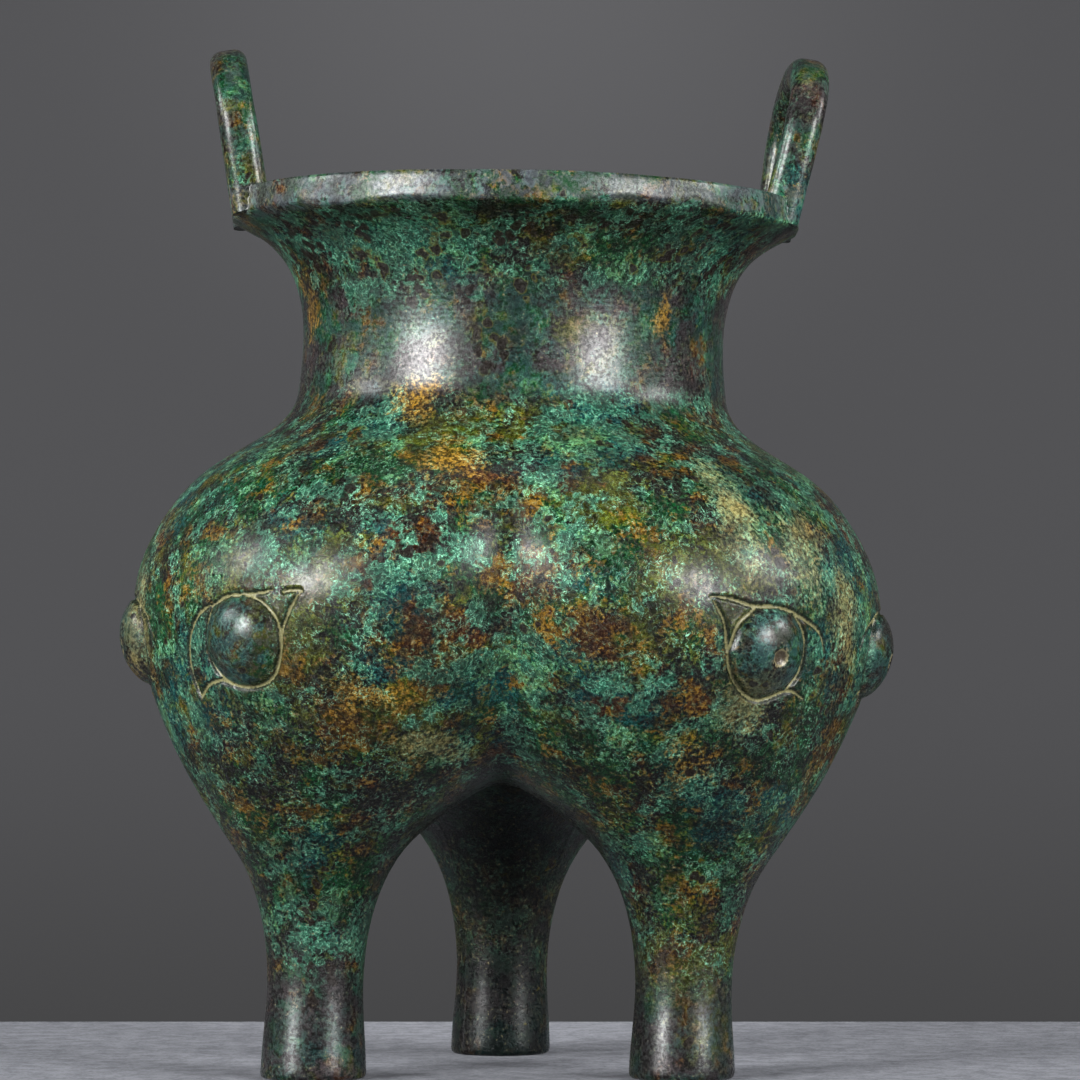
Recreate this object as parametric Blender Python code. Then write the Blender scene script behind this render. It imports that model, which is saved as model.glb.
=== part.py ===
"""A cast bronze tripod vessel of the li kind, standing on its own three feet.

Three hollow pouches run together under a round neck and draw down to three legs. The neck
flares to a flat rim that carries two upright loop handles, and each pouch has a pair of
raised eyes with incised lids. The whole vessel is one casting, so it is one solid.

Lengths are in metres. A level is a height above the table, measured along the vessel's axis.
"""

import math

import bmesh
import bpy
import numpy as np
from mathutils import Matrix, Vector

MM = 0.001

# Pouches and legs
LEG_SPREAD = 41.0 * MM
FOOT_RADIUS = 10.2 * MM
ANKLE_RADIUS = 9.3 * MM
ANKLE_LEVEL = 15.0 * MM
ARCH_LEVEL = 56.5 * MM
BELLY_LEVEL = 94.0 * MM
BELLY_RADIUS = 40.6 * MM
SHOULDER_LEVEL = 118.0 * MM
SHOULDER_RADIUS = 46.7 * MM
POUCH_BREADTH = 1.26
ARCH_BLEND = 6.0 * MM
VALLEY_BLEND = 1.2 * MM
LEG_HOLLOW_LEVEL = 27.0 * MM

# Neck and rim
NECK_LEVEL = 143.0 * MM
NECK_RADIUS = 41.6 * MM
RIM_LEVEL = 171.6 * MM
RIM_RADIUS = 56.1 * MM
RIM_BAND = 5.3 * MM
RIM_TAPER = 0.5 * MM
RIM_LAND = 5.0 * MM
WALL = 3.2 * MM

# Handles
HANDLE_SPAN = 30.0 * MM
HANDLE_DEPTH = 7.4 * MM
HANDLE_WIDTH = 7.0 * MM
HANDLE_ROUNDING = 2.3 * MM
# How far down the rim's band the handles are rooted, as a share of the band
HANDLE_ROOT = 0.95
# Each handle was set by eye: its height over the rim, how far it stands out past the rim, how
# far it is turned about the vessel's axis, how far it leans, and how much more than that its
# front leg leans.
LEFT_RISE = 28.4 * MM
LEFT_SET = 0.7 * MM
LEFT_TURN = math.radians(3.3)
LEFT_LEAN = math.radians(9.8)
LEFT_SKEW = math.radians(0.3)
RIGHT_RISE = 29.5 * MM
RIGHT_SET = 0.1 * MM
RIGHT_TURN = math.radians(0.6)
RIGHT_LEAN = math.radians(9.9)
RIGHT_SKEW = math.radians(3.3)

# Eyes
EYE_ANGLE = math.radians(17.8)
EYE_LEVEL = 82.6 * MM
EYE_RADIUS = 8.4 * MM
EYE_RISE = 3.5 * MM
EYE_ROOT = 1.8 * MM
# One makes the eyeball an ellipse from the side, and more makes it more pointed.
EYE_SHARPNESS = 1.3
PUPIL_RADIUS = 2.4 * MM
PUPIL_DEPTH = 1.2 * MM
WORN_PUPIL_DEPTH = 0.3 * MM
LINE_WIDTH = 1.2 * MM
LINE_DEPTH = 0.8 * MM

# The vessel stands a little out of true, on feet ground flat to the table.
LEAN = math.radians(1.15)

# Facets across half a pouch, and down it: over the belly, under it and along the leg
COLUMNS = 11
ROWS = (11, 6, 8)
INNER_COLUMNS = 6
INNER_ROWS = (8, 4, 5)
# The grids are evened out this many times over, at this many times the facets kept.
ROUNDS_OF_EVENING = 400
FINER = 2
# How much of the pull on a point is up and down. The rest is sideways, and too much of it lets
# the rows slip down to the narrow of the leg.
UPRIGHT_PULL = 0.8
# Facets round an eye
EYE_SIDES = 14

# The pouches stand at thirds of a turn, one at the back and two in front.
HALF_SECTOR = math.pi / 3
POUCH_TURNS = (math.radians(-30.0), math.radians(90.0), math.radians(210.0))
WORN_TURN = POUCH_TURNS[2]
VALLEY_LINE = np.array([math.cos(HALF_SECTOR), math.sin(HALF_SECTOR), 0.0])


def between(low, high, share):
    return low + share * (high - low)


def fair_curve(stations):
    """A smooth function through (level, value) stations, flat at both ends and beyond them."""
    x, y = np.array(stations, dtype=float).T
    gap = np.diff(x)
    slope = np.diff(y) / gap
    matrix = np.eye(len(x))
    right = np.zeros(len(x))
    for i in range(1, len(x) - 1):
        matrix[i, i - 1 : i + 2] = gap[i], 2.0 * (gap[i - 1] + gap[i]), gap[i - 1]
        right[i] = 3.0 * (gap[i] * slope[i - 1] + gap[i - 1] * slope[i])
    tangent = np.linalg.solve(matrix, right)

    def value(level):
        level = np.clip(level, x[0], x[-1])
        i = np.clip(np.searchsorted(x, level) - 1, 0, len(x) - 2)
        t = (level - x[i]) / gap[i]
        ends = y[i] * (1 + 2 * t) * (1 - t) ** 2 + y[i + 1] * t * t * (3 - 2 * t)
        return ends + gap[i] * t * (1 - t) * (tangent[i] * (1 - t) - tangent[i + 1] * t)

    return value


# The pouch's middle line is the leg's under the arch, and has run in to the vessel's axis
# at the foot of the neck.
ARCH_SPREAD = 0.91 * LEG_SPREAD
pouch_centre = fair_curve([
    (0.76 * ARCH_LEVEL, LEG_SPREAD),
    (ARCH_LEVEL, ARCH_SPREAD),
    (between(ARCH_LEVEL, BELLY_LEVEL, 0.47), 0.868 * LEG_SPREAD),
    (BELLY_LEVEL, 0.82 * LEG_SPREAD),
    (between(BELLY_LEVEL, NECK_LEVEL, 0.37), 0.475 * LEG_SPREAD),
    (between(BELLY_LEVEL, NECK_LEVEL, 0.78), 0.0),
])

# The pouch's section is broader than it is deep at the belly, and round in leg and neck.
pouch_breadth = fair_curve([
    (0.8 * ARCH_LEVEL, 1.0),
    (between(ARCH_LEVEL, BELLY_LEVEL, 0.63), POUCH_BREADTH),
    (between(BELLY_LEVEL, NECK_LEVEL, 0.12), POUCH_BREADTH),
    (between(BELLY_LEVEL, NECK_LEVEL, 0.73), 1.0),
])

# How softly two pouches run together: a round arch below, a close valley above it.
seam_blend = fair_curve([
    (ARCH_LEVEL, ARCH_BLEND),
    (between(ARCH_LEVEL, BELLY_LEVEL, 0.7), VALLEY_BLEND),
])

# Half the depth of the pouch's section. At the top of the arch two neighbours just meet.
ARCH_RADIUS = ARCH_SPREAD * math.sin(HALF_SECTOR) - ARCH_BLEND * math.log(2.0)
pouch_radius = fair_curve([
    (0.0, FOOT_RADIUS),
    (ANKLE_LEVEL, ANKLE_RADIUS),
    (between(ANKLE_LEVEL, ARCH_LEVEL, 0.41), between(ANKLE_RADIUS, ARCH_RADIUS, 0.10)),
    (between(ANKLE_LEVEL, ARCH_LEVEL, 0.70), between(ANKLE_RADIUS, ARCH_RADIUS, 0.41)),
    (ARCH_LEVEL, ARCH_RADIUS),
    (between(ARCH_LEVEL, BELLY_LEVEL, 0.47), between(ARCH_RADIUS, BELLY_RADIUS, 0.67)),
    (BELLY_LEVEL, BELLY_RADIUS),
    (between(BELLY_LEVEL, SHOULDER_LEVEL, 0.67), between(BELLY_RADIUS, SHOULDER_RADIUS, 0.74)),
    (SHOULDER_LEVEL, SHOULDER_RADIUS),
    (between(SHOULDER_LEVEL, NECK_LEVEL, 0.24), between(NECK_RADIUS, SHOULDER_RADIUS, 0.49)),
    (between(SHOULDER_LEVEL, NECK_LEVEL, 0.48), between(NECK_RADIUS, SHOULDER_RADIUS, 0.22)),
    (NECK_LEVEL, NECK_RADIUS),
])


def field(points):
    """Below nought inside the outer form of the pouches and above nought outside it."""
    x, y, level = points[..., 0], points[..., 1], points[..., 2]
    centre = pouch_centre(level)
    gaps = []
    for i in range(3):
        turn = 2.0 * HALF_SECTOR * i
        along = x * math.cos(turn) + y * math.sin(turn) - centre
        across = (y * math.cos(turn) - x * math.sin(turn)) / pouch_breadth(level)
        gaps.append(np.hypot(along, across) - pouch_radius(level))
    least = np.minimum.reduce(gaps)
    blend = seam_blend(level) * centre / LEG_SPREAD + 1e-3 * MM
    return least - blend * np.log(sum(np.exp((least - gap) / blend) for gap in gaps))


def field_slope(points, step=0.01 * MM):
    """How the field rises along each axis."""
    return np.stack(
        [(field(points + side) - field(points - side)) / (2 * step) for side in step * np.eye(3)],
        axis=-1,
    )


def outward(points):
    """Unit normals of the outer form."""
    slope = field_slope(points)
    return slope / np.linalg.norm(slope, axis=-1, keepdims=True)


def settled(points, steps=2):
    """Points near the outer form moved on to it."""
    for _ in range(steps):
        slope = field_slope(points)
        points = points - (field(points) / (slope**2).sum(axis=-1))[..., None] * slope
    return points


def cast(start, direction):
    """Where rays that start inside the outer form first come out of it."""
    reach, steps = 2.0 * RIM_RADIUS, 60
    start, direction = np.broadcast_arrays(start, direction)
    low = np.zeros(start.shape[:-1])
    high = np.full(start.shape[:-1], reach)
    found = np.zeros(start.shape[:-1], bool)
    for i in range(1, steps + 1):
        at = reach * i / steps
        leaves = (field(start + at * direction) > 0) & ~found
        low = np.where(leaves, at - reach / steps, low)
        high = np.where(leaves, at, high)
        found |= leaves
    for _ in range(40):
        middle = (low + high) / 2
        inside = field(start + middle[..., None] * direction) < 0
        low = np.where(inside, middle, low)
        high = np.where(inside, high, middle)
    return start + low[..., None] * direction


def mirrored(points, angle):
    """Points mirrored in the upright plane through the vessel's axis at this angle."""
    across = np.array([-math.sin(angle), math.cos(angle), 0.0])
    return points - 2.0 * (points @ across)[..., None] * across


def middle_point(level):
    return np.array([float(pouch_centre(level)), 0.0, level])


def first_row(level, end, columns):
    """A first guess at points from a pouch's outer middle line, at this level, to an end point."""
    start = middle_point(level)
    aim = end - start
    share = np.linspace(0.0, 1.0, columns + 1)
    turn = math.atan2(aim[1], aim[0]) * share
    rays = np.stack([np.cos(turn), np.sin(turn), aim[2] / math.hypot(*aim[:2]) * share], axis=-1)
    points = cast(start, rays / np.linalg.norm(rays, axis=-1, keepdims=True))
    points[-1] = end
    beyond = np.arctan2(points[:-1, 1], points[:-1, 0]) > HALF_SECTOR
    points[:-1] = np.where(beyond[:, None], mirrored(points[:-1], HALF_SECTOR), points[:-1])
    return points


def relaxed(grid, axis_row, rounds):
    """Even out a half pouch's grid on the outer form, its edges sliding in their own planes."""
    for _ in range(rounds):
        before = mirrored(grid[:, 1:2], 0.0)
        after = mirrored(grid[:, -2:-1], HALF_SECTOR)
        after[axis_row:] = mirrored(grid[axis_row:, -2:-1], 0.0)
        wide = np.concatenate([before, grid, after], axis=1)
        sideways = (wide[1:-1, :-2] + wide[1:-1, 2:]) / 2
        upright = (wide[:-2, 1:-1] + wide[2:, 1:-1]) / 2
        middle = between(sideways, upright, UPRIGHT_PULL)
        middle = (middle + grid[1:-1]) / 2
        middle[axis_row - 1, -1] = grid[axis_row, -1]
        grid[1:-1] = settled(middle)
    return grid


def half_pouch(columns, row_counts, last_level):
    """A grid of points over half a pouch, from the neck down to last_level on the leg.

    Its first column runs down the outer middle line. Its last column runs down the valley
    between two pouches, in under the arch to the vessel's axis, and down the inside of the leg.
    """
    belly, under, leg = (FINER * count for count in row_counts)
    rows = []
    hub = np.array([0.0, 0.0, between(ARCH_LEVEL, BELLY_LEVEL, 0.75)])
    for level in np.linspace(NECK_LEVEL, hub[2], belly + 1):
        end = cast(np.array([0.0, 0.0, level]), VALLEY_LINE)
        rows.append(first_row(level, end, FINER * columns))
    for i in range(1, under + 1):
        dip = math.pi / 2 * i / under
        aim = math.cos(dip) * VALLEY_LINE - math.sin(dip) * np.array([0.0, 0.0, 1.0])
        end = cast(hub, aim) if i < under else cast(hub, np.array([0.0, 0.0, -1.0]))
        rows.append(first_row(between(hub[2], ARCH_LEVEL, i / under), end, FINER * columns))
    axis_row = len(rows) - 1
    root = middle_point(ARCH_LEVEL)
    last_end = cast(middle_point(last_level), np.array([-1.0, 0.0, 0.0]))
    first_dip = math.atan2(root[2] - rows[-1][-1][2], root[0])
    last_dip = math.atan2(root[2] - last_level, root[0] - last_end[0])
    for i in range(1, leg + 1):
        dip = between(first_dip, last_dip, i / leg)
        end = cast(root, np.array([-math.cos(dip), 0.0, -math.sin(dip)]))
        if i == leg:
            end = last_end
        rows.append(first_row(between(root[2], last_level, i / leg), end, FINER * columns))
    return relaxed(np.array(rows), axis_row, ROUNDS_OF_EVENING)[::FINER, ::FINER]


def turned(profile, columns):
    """Rows over half a sector of a round stretch, from (radius, level) pairs."""
    angle = np.linspace(0.0, HALF_SECTOR, columns + 1)
    return [
        np.stack([r * np.cos(angle), r * np.sin(angle), np.full_like(angle, level)], axis=-1)
        for r, level in profile
    ]


def bezier(corners, count):
    """Evenly stepped points of a Bezier curve, its end first and its start left out."""
    t = np.linspace(1.0, 0.0, count, endpoint=False)[:, None]
    a, b, c, d = (np.array(corner) for corner in corners)
    return a * (1 - t) ** 3 + 3 * b * t * (1 - t) ** 2 + 3 * c * t * t * (1 - t) + d * t**3


def outer_rows():
    """Half a pouch's outer skin, from the rim's top edge to the foot."""
    band_foot = RIM_LEVEL - RIM_BAND
    flare = bezier([
        (NECK_RADIUS, NECK_LEVEL),
        (NECK_RADIUS, between(NECK_LEVEL, band_foot, 0.72)),
        (between(NECK_RADIUS, RIM_RADIUS, 0.55), between(NECK_LEVEL, band_foot, 0.86)),
        (RIM_RADIUS, band_foot),
    ], 5)
    rows = turned([(RIM_RADIUS - RIM_TAPER, RIM_LEVEL), *flare], COLUMNS)
    body = half_pouch(COLUMNS, ROWS, 0.0)
    # The feet are ground to the table, so their ends slope on the leaning vessel.
    body[-1, :, 2] = 0.0
    return rows + list(body)


def inner_rows():
    """Half a pouch's inner skin, from the mouth down to the round floor in the leg."""
    mouth = RIM_RADIUS - RIM_TAPER - RIM_LAND
    throat = NECK_RADIUS - WALL
    slope = bezier([
        (throat, NECK_LEVEL),
        (throat, between(NECK_LEVEL, RIM_LEVEL, 0.5)),
        (between(throat, mouth, 0.6), between(NECK_LEVEL, RIM_LEVEL, 0.65)),
        (mouth, RIM_LEVEL),
    ], 4)
    rows = turned(slope, INNER_COLUMNS)
    floor_edge = LEG_HOLLOW_LEVEL
    for _ in range(30):
        floor_edge = LEG_HOLLOW_LEVEL + float(pouch_radius(floor_edge)) - WALL
    body = half_pouch(INNER_COLUMNS, INNER_ROWS, floor_edge)
    rows += [points - WALL * outward(points) for points in body]
    edge = rows[-1]
    centre = middle_point(floor_edge)
    centre[2] = edge[:, 2].mean()
    depth = centre[2] - LEG_HOLLOW_LEVEL
    for turn in (math.pi / 6, math.pi / 3, math.pi / 2):
        rows.append(centre + (edge - centre) * math.cos(turn) - depth * math.sin(turn) * np.array([0, 0, 1]))
    return rows


def vessel_mesh():
    """The hollow vessel, upright, with its feet ground for the lean it will be given."""
    bm = bmesh.new()
    outer, inner = outer_rows(), inner_rows()
    for turn in POUCH_TURNS:
        for side in (1.0, -1.0):
            place = Matrix.Rotation(turn, 3, "Z") @ Matrix.Diagonal((1.0, side, 1.0))
            skins = []
            for rows in (outer, inner):
                skin = [[bm.verts.new(place @ Vector(point)) for point in row] for row in rows]
                for upper, lower in zip(skin, skin[1:]):
                    for i in range(len(upper) - 1):
                        add_facets(bm, upper[i], lower[i], lower[i + 1], upper[i + 1])
                skins.append(skin)
            stitch(bm, skins[0][0], skins[1][0])
            for vertex in skins[0][-1]:
                vertex.co.z = vertex.co.x * math.tan(LEAN)
    bmesh.ops.remove_doubles(bm, verts=bm.verts, dist=1e-3 * MM)
    bmesh.ops.holes_fill(bm, edges=[edge for edge in bm.edges if edge.is_boundary], sides=0)
    bmesh.ops.recalc_face_normals(bm, faces=bm.faces)
    return bm


def add_facets(bm, a, b, c, d):
    """Two triangles over a quarter of points, split along its shorter diagonal."""
    if (a.co - c.co).length < 1.001 * (b.co - d.co).length:
        bm.faces.new((a, b, c))
        bm.faces.new((a, c, d))
    else:
        bm.faces.new((a, b, d))
        bm.faces.new((b, c, d))


def stitch(bm, outer, inner):
    """The flat land between two edges of a sector that have different numbers of points."""
    i = j = 0
    while i < len(outer) - 1 or j < len(inner) - 1:
        if (i + 1) / (len(outer) - 1) <= (j + 1) / (len(inner) - 1):
            bm.faces.new((outer[i], outer[i + 1], inner[j]))
            i += 1
        else:
            bm.faces.new((outer[i], inner[j + 1], inner[j]))
            j += 1


def sweep(bm, rings, closed):
    """Skin rings of points in order, joined end to end or capped."""
    rings = [[bm.verts.new(Vector(point)) for point in ring] for ring in rings]
    pairs = list(zip(rings, rings[1:] + rings[:1])) if closed else list(zip(rings, rings[1:]))
    for first, second in pairs:
        for i in range(len(first)):
            j = (i + 1) % len(first)
            bm.faces.new((first[i], first[j], second[j], second[i]))
    if not closed:
        bm.faces.new(rings[0][::-1])
        bm.faces.new(rings[-1])


def add_handle(bm, side, height, setting, turn, lean, skew):
    """A loop of rounded bar, set in the rim and leaning outwards from the vessel."""
    radius = HANDLE_SPAN / 2
    crown = height / math.cos(lean) - HANDLE_WIDTH / 2 - radius
    root = -HANDLE_ROOT * RIM_BAND
    stations = [(-radius, root, 0.0), (-radius, crown / 2, 0.0)]
    for bend in np.linspace(0.0, math.pi, 11):
        stations.append((-radius * math.cos(bend), crown + radius * math.sin(bend), bend))
    stations += [(radius, crown / 2, math.pi), (radius, root, math.pi)]
    flat_x, flat_y = HANDLE_DEPTH / 2 - HANDLE_ROUNDING, HANDLE_WIDTH / 2 - HANDLE_ROUNDING
    section = []
    for i, (sx, sy) in enumerate(((1, 1), (-1, 1), (-1, -1), (1, -1))):
        for angle in (math.pi / 2 * i, math.pi / 2 * (i + 1)):
            section.append((
                sx * flat_x + HANDLE_ROUNDING * math.cos(angle),
                sy * flat_y + HANDLE_ROUNDING * math.sin(angle),
            ))
    foot = np.array([side * (RIM_RADIUS + setting - HANDLE_DEPTH / 2), 0.0, RIM_LEVEL])
    sideways = np.array([0.0, 1.0, 0.0])
    spin = np.array(Matrix.Rotation(turn, 3, "Z"))
    rings = []
    for s, rise, bend in stations:
        tilt = lean - skew * s / radius
        out = np.array([side * math.cos(tilt), 0.0, -math.sin(tilt)])
        up = np.array([side * math.sin(tilt), 0.0, math.cos(tilt)])
        centre = foot + s * sideways + rise * up
        across = math.sin(bend) * up - math.cos(bend) * sideways
        ring = [centre + x * out + y * across for x, y in section]
        if rise == root:
            ring = [point + (RIM_LEVEL + root - point[2]) / up[2] * up for point in ring]
        rings.append([spin @ point for point in ring])
    sweep(bm, rings, closed=False)


def eye_frame(turn, side):
    """An eye's middle on the pouch, with the directions to the valley, up and outwards."""
    angle = side * EYE_ANGLE
    middle = cast(np.array([0.0, 0.0, EYE_LEVEL]), np.array([math.cos(angle), math.sin(angle), 0.0]))
    normal = outward(middle)
    to_valley = side * np.cross([0.0, 0.0, 1.0], normal)
    to_valley /= np.linalg.norm(to_valley)
    up = side * np.cross(normal, to_valley)
    return middle, to_valley, up, normal


def add_eyeball(bm, turn, side, pupil_depth):
    """The eyeball: a low dome with a dished pupil, rooted in the wall."""
    middle, to_valley, up, normal = eye_frame(turn, side)
    pupil = math.asin(PUPIL_RADIUS / EYE_RADIUS)
    brim = EYE_RISE * math.cos(pupil) ** EYE_SHARPNESS
    profile = [(0.45 * PUPIL_RADIUS, brim - pupil_depth), (PUPIL_RADIUS, brim)]
    for lift in np.linspace(pupil, math.pi / 2, 4)[1:]:
        height = EYE_RISE * max(math.cos(lift), 0.0) ** EYE_SHARPNESS
        profile.append((EYE_RADIUS * math.sin(lift), height))
    profile.append((0.9 * EYE_RADIUS, -EYE_ROOT))
    spin = np.array(Matrix.Rotation(turn, 3, "Z"))
    rings = []
    for radius, height in profile:
        ring = []
        for i in range(EYE_SIDES):
            a = 2 * math.pi * i / EYE_SIDES
            point = middle + radius * (math.cos(a) * to_valley + math.sin(a) * up) + height * normal
            ring.append(spin @ point)
        rings.append(ring)
    sweep(bm, rings, closed=False)


def smooth_path(corners, count):
    """Points along a smooth line through the corners given."""
    corners = np.array(corners)
    at = np.linspace(0.0, 1.0, len(corners))
    curves = [fair_curve(list(zip(at, corners[:, i]))) for i in range(2)]
    return [(float(curves[0](t)), float(curves[1](t))) for t in np.linspace(0.0, 1.0, count)]


# The incised lines of an eye, in eye radii towards the valley and upwards: the ring round the
# eyeball, the upper lid from the sharp corner over the eye, the lower line from the same
# corner, and the short tail under the far side. Bare metal is left between each two lines.
RING_REACH = 1.06
RING_LINE = [
    (RING_REACH * math.cos(a), RING_REACH * math.sin(a))
    for a in (np.arange(EYE_SIDES) + 0.5) * 2.0 * math.pi / EYE_SIDES
]
LID_LINE = smooth_path(
    [(1.78, 1.34), (1.2, 1.3), (0.6, 1.22), (-0.1, 1.27), (-0.9, 1.02), (-1.5, 0.58), (-1.85, 0.0)], 10
)
CORNER_LINE = smooth_path([(1.68, 1.02), (1.5, 0.83), (1.34, 0.5), (1.32, 0.15)], 4)
TAIL_LINE = smooth_path([(-0.55, -1.22), (-1.0, -1.18), (-1.4, -1.36)], 3)
# How thin the ends of a line are drawn out, against its middle
LINE_END = 0.4


def add_line(bm, turn, side, line, closed):
    """A tapered bar laid along a line of the eye, sunk in the surface to cut a groove."""
    middle, to_valley, up, normal = eye_frame(turn, side)
    flat = np.array([middle + EYE_RADIUS * (a * to_valley + b * up) for a, b in line])
    path = settled(flat, 6)
    normals = outward(path)
    if closed:
        ahead, behind = np.roll(path, -1, axis=0), np.roll(path, 1, axis=0)
    else:
        ahead, behind = np.vstack([path[1:], path[-1:]]), np.vstack([path[:1], path[:-1]])
    sides = np.cross(normals, ahead - behind)
    sides /= np.linalg.norm(sides, axis=-1, keepdims=True)
    spin = np.array(Matrix.Rotation(turn, 3, "Z"))
    corners = [(-1.0, 1.0), (0.0, -1.0), (1.0, 1.0)]
    rings = []
    for i, point in enumerate(path):
        thin = 1.0 if closed or 0 < i < len(path) - 1 else LINE_END
        rings.append([
            spin @ (point + thin * LINE_WIDTH * x * sides[i] + LINE_DEPTH * y * normals[i])
            for x, y in corners
        ])
    sweep(bm, rings, closed)


def new_object(name, bm):
    """An object made of this mesh, leaning as the vessel does."""
    bmesh.ops.recalc_face_normals(bm, faces=bm.faces)
    bm.transform(Matrix.Rotation(LEAN, 4, "Y"))
    mesh = bpy.data.meshes.new(name)
    bm.to_mesh(mesh)
    bm.free()
    obj = bpy.data.objects.new(name, mesh)
    bpy.context.scene.collection.objects.link(obj)
    return obj


def alter(vessel, name, operation, build):
    """Join a hidden helper to the vessel, or cut it away."""
    bm = bmesh.new()
    build(bm)
    other = new_object(name, bm)
    other.hide_render = True
    other.display_type = "WIRE"
    modifier = vessel.modifiers.new(name, "BOOLEAN")
    modifier.operation = operation
    modifier.solver = "EXACT"
    modifier.object = other


def both_handles(bm):
    add_handle(bm, -1.0, LEFT_RISE, LEFT_SET, LEFT_TURN, LEFT_LEAN, LEFT_SKEW)
    add_handle(bm, 1.0, RIGHT_RISE, RIGHT_SET, RIGHT_TURN, RIGHT_LEAN, RIGHT_SKEW)


def all_eyeballs(bm):
    for turn in POUCH_TURNS:
        pupil_depth = WORN_PUPIL_DEPTH if turn == WORN_TURN else PUPIL_DEPTH
        for side in (1.0, -1.0):
            add_eyeball(bm, turn, side, pupil_depth)


def all_of_line(line, closed):
    def build(bm):
        for turn in POUCH_TURNS:
            for side in (1.0, -1.0):
                add_line(bm, turn, side, line, closed)

    return build


def bronze():
    material = bpy.data.materials.new("patinated_bronze")
    material.use_nodes = True
    shader = material.node_tree.nodes["Principled BSDF"]
    shader.inputs["Base Color"].default_value = (0.045, 0.105, 0.075, 1.0)
    shader.inputs["Roughness"].default_value = 0.42
    shader.inputs["Metallic"].default_value = 0.35
    return material


for old in list(bpy.data.objects):
    bpy.data.objects.remove(old)

vessel = new_object("tripod_vessel", vessel_mesh())
vessel.data.materials.append(bronze())
alter(vessel, "handles", "UNION", both_handles)
alter(vessel, "eyeballs", "UNION", all_eyeballs)
alter(vessel, "ring_cutter", "DIFFERENCE", all_of_line(RING_LINE, True))
alter(vessel, "lid_cutter", "DIFFERENCE", all_of_line(LID_LINE, False))
alter(vessel, "corner_cutter", "DIFFERENCE", all_of_line(CORNER_LINE, False))
alter(vessel, "tail_cutter", "DIFFERENCE", all_of_line(TAIL_LINE, False))

# The origin is on the table, under the middle of the vessel's box.
bpy.context.view_layer.update()
standing = vessel.evaluated_get(bpy.context.evaluated_depsgraph_get())
corners = np.array([vertex.co for vertex in standing.data.vertices])
middle = (corners.min(axis=0) + corners.max(axis=0)) / 2
for obj in bpy.data.objects:
    obj.location = (-middle[0], -middle[1], 0.0)

bpy.context.view_layer.objects.active = vessel
vessel.select_set(True)
bpy.ops.object.shade_smooth()
vessel.data.set_sharp_from_angle(angle=math.radians(40.0))
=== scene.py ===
"""A cast bronze tripod vessel of the li kind, on a pale table in soft studio light.

Its body is three hollow pouches that run down into legs, under a round neck with a flat rim.
Two loop handles stand on the rim and six eyes stand on the pouches. Lengths are in metres.
"""

import math

import bmesh
import bpy
import numpy as np
from mathutils import Matrix, Vector


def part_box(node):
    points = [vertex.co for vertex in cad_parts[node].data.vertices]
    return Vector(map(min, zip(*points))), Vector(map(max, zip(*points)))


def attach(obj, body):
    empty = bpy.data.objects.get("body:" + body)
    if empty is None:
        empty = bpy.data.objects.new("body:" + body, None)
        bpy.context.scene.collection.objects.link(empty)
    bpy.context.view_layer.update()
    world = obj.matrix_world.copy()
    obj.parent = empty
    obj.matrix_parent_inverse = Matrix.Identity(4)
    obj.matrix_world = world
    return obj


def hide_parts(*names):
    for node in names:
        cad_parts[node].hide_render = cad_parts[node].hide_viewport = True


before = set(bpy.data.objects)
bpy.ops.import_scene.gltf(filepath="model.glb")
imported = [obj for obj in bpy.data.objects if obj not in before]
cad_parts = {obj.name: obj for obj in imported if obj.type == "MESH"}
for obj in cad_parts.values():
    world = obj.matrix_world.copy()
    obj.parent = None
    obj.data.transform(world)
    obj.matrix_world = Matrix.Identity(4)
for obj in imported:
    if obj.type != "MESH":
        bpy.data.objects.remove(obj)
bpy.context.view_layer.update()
MM = 0.001

# The body
# A bronze casting, hollow and about 3 mm thick. Three pouches blend into one another and into
# the neck, and each draws down to a round leg. It was poured in one with its rim and eyes, and
# scraped and polished by hand afterwards.

LEG_SPREAD = 41.0 * MM
FOOT_RADIUS = 10.2 * MM
ANKLE_RADIUS = 9.3 * MM
ANKLE_LEVEL = 15.0 * MM
ARCH_LEVEL = 56.5 * MM
BELLY_LEVEL = 94.0 * MM
BELLY_RADIUS = 40.6 * MM
SHOULDER_LEVEL = 118.0 * MM
SHOULDER_RADIUS = 46.7 * MM
POUCH_BREADTH = 1.26
ARCH_BLEND = 6.0 * MM
VALLEY_BLEND = 1.2 * MM
LEG_HOLLOW_LEVEL = 27.0 * MM
NECK_LEVEL = 143.0 * MM
NECK_RADIUS = 41.6 * MM
RIM_LEVEL = 171.6 * MM
RIM_RADIUS = 56.1 * MM
RIM_BAND = 5.3 * MM
RIM_TAPER = 0.5 * MM
RIM_LAND = 5.0 * MM
EDGE_WEAR = 0.5 * MM
WALL = 3.2 * MM
LEAN = math.radians(1.15)
# The pouches stand at thirds of a turn. Half of one is made, and repeated later.
HALF_SECTOR = math.pi / 3
VALLEY_LINE = np.array([math.cos(HALF_SECTOR), math.sin(HALF_SECTOR), 0.0])
# Facets across half a pouch while it is evened out, and how much finer they are made then
COLUMNS = 11
OUTER_FINER = 3
INNER_FINER = 2
ROUNDS_OF_EVENING = 300
LAST_ROUNDS = 12
WELD = 1e-3 * MM


def between(low, high, share):
    return low + share * (high - low)


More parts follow.
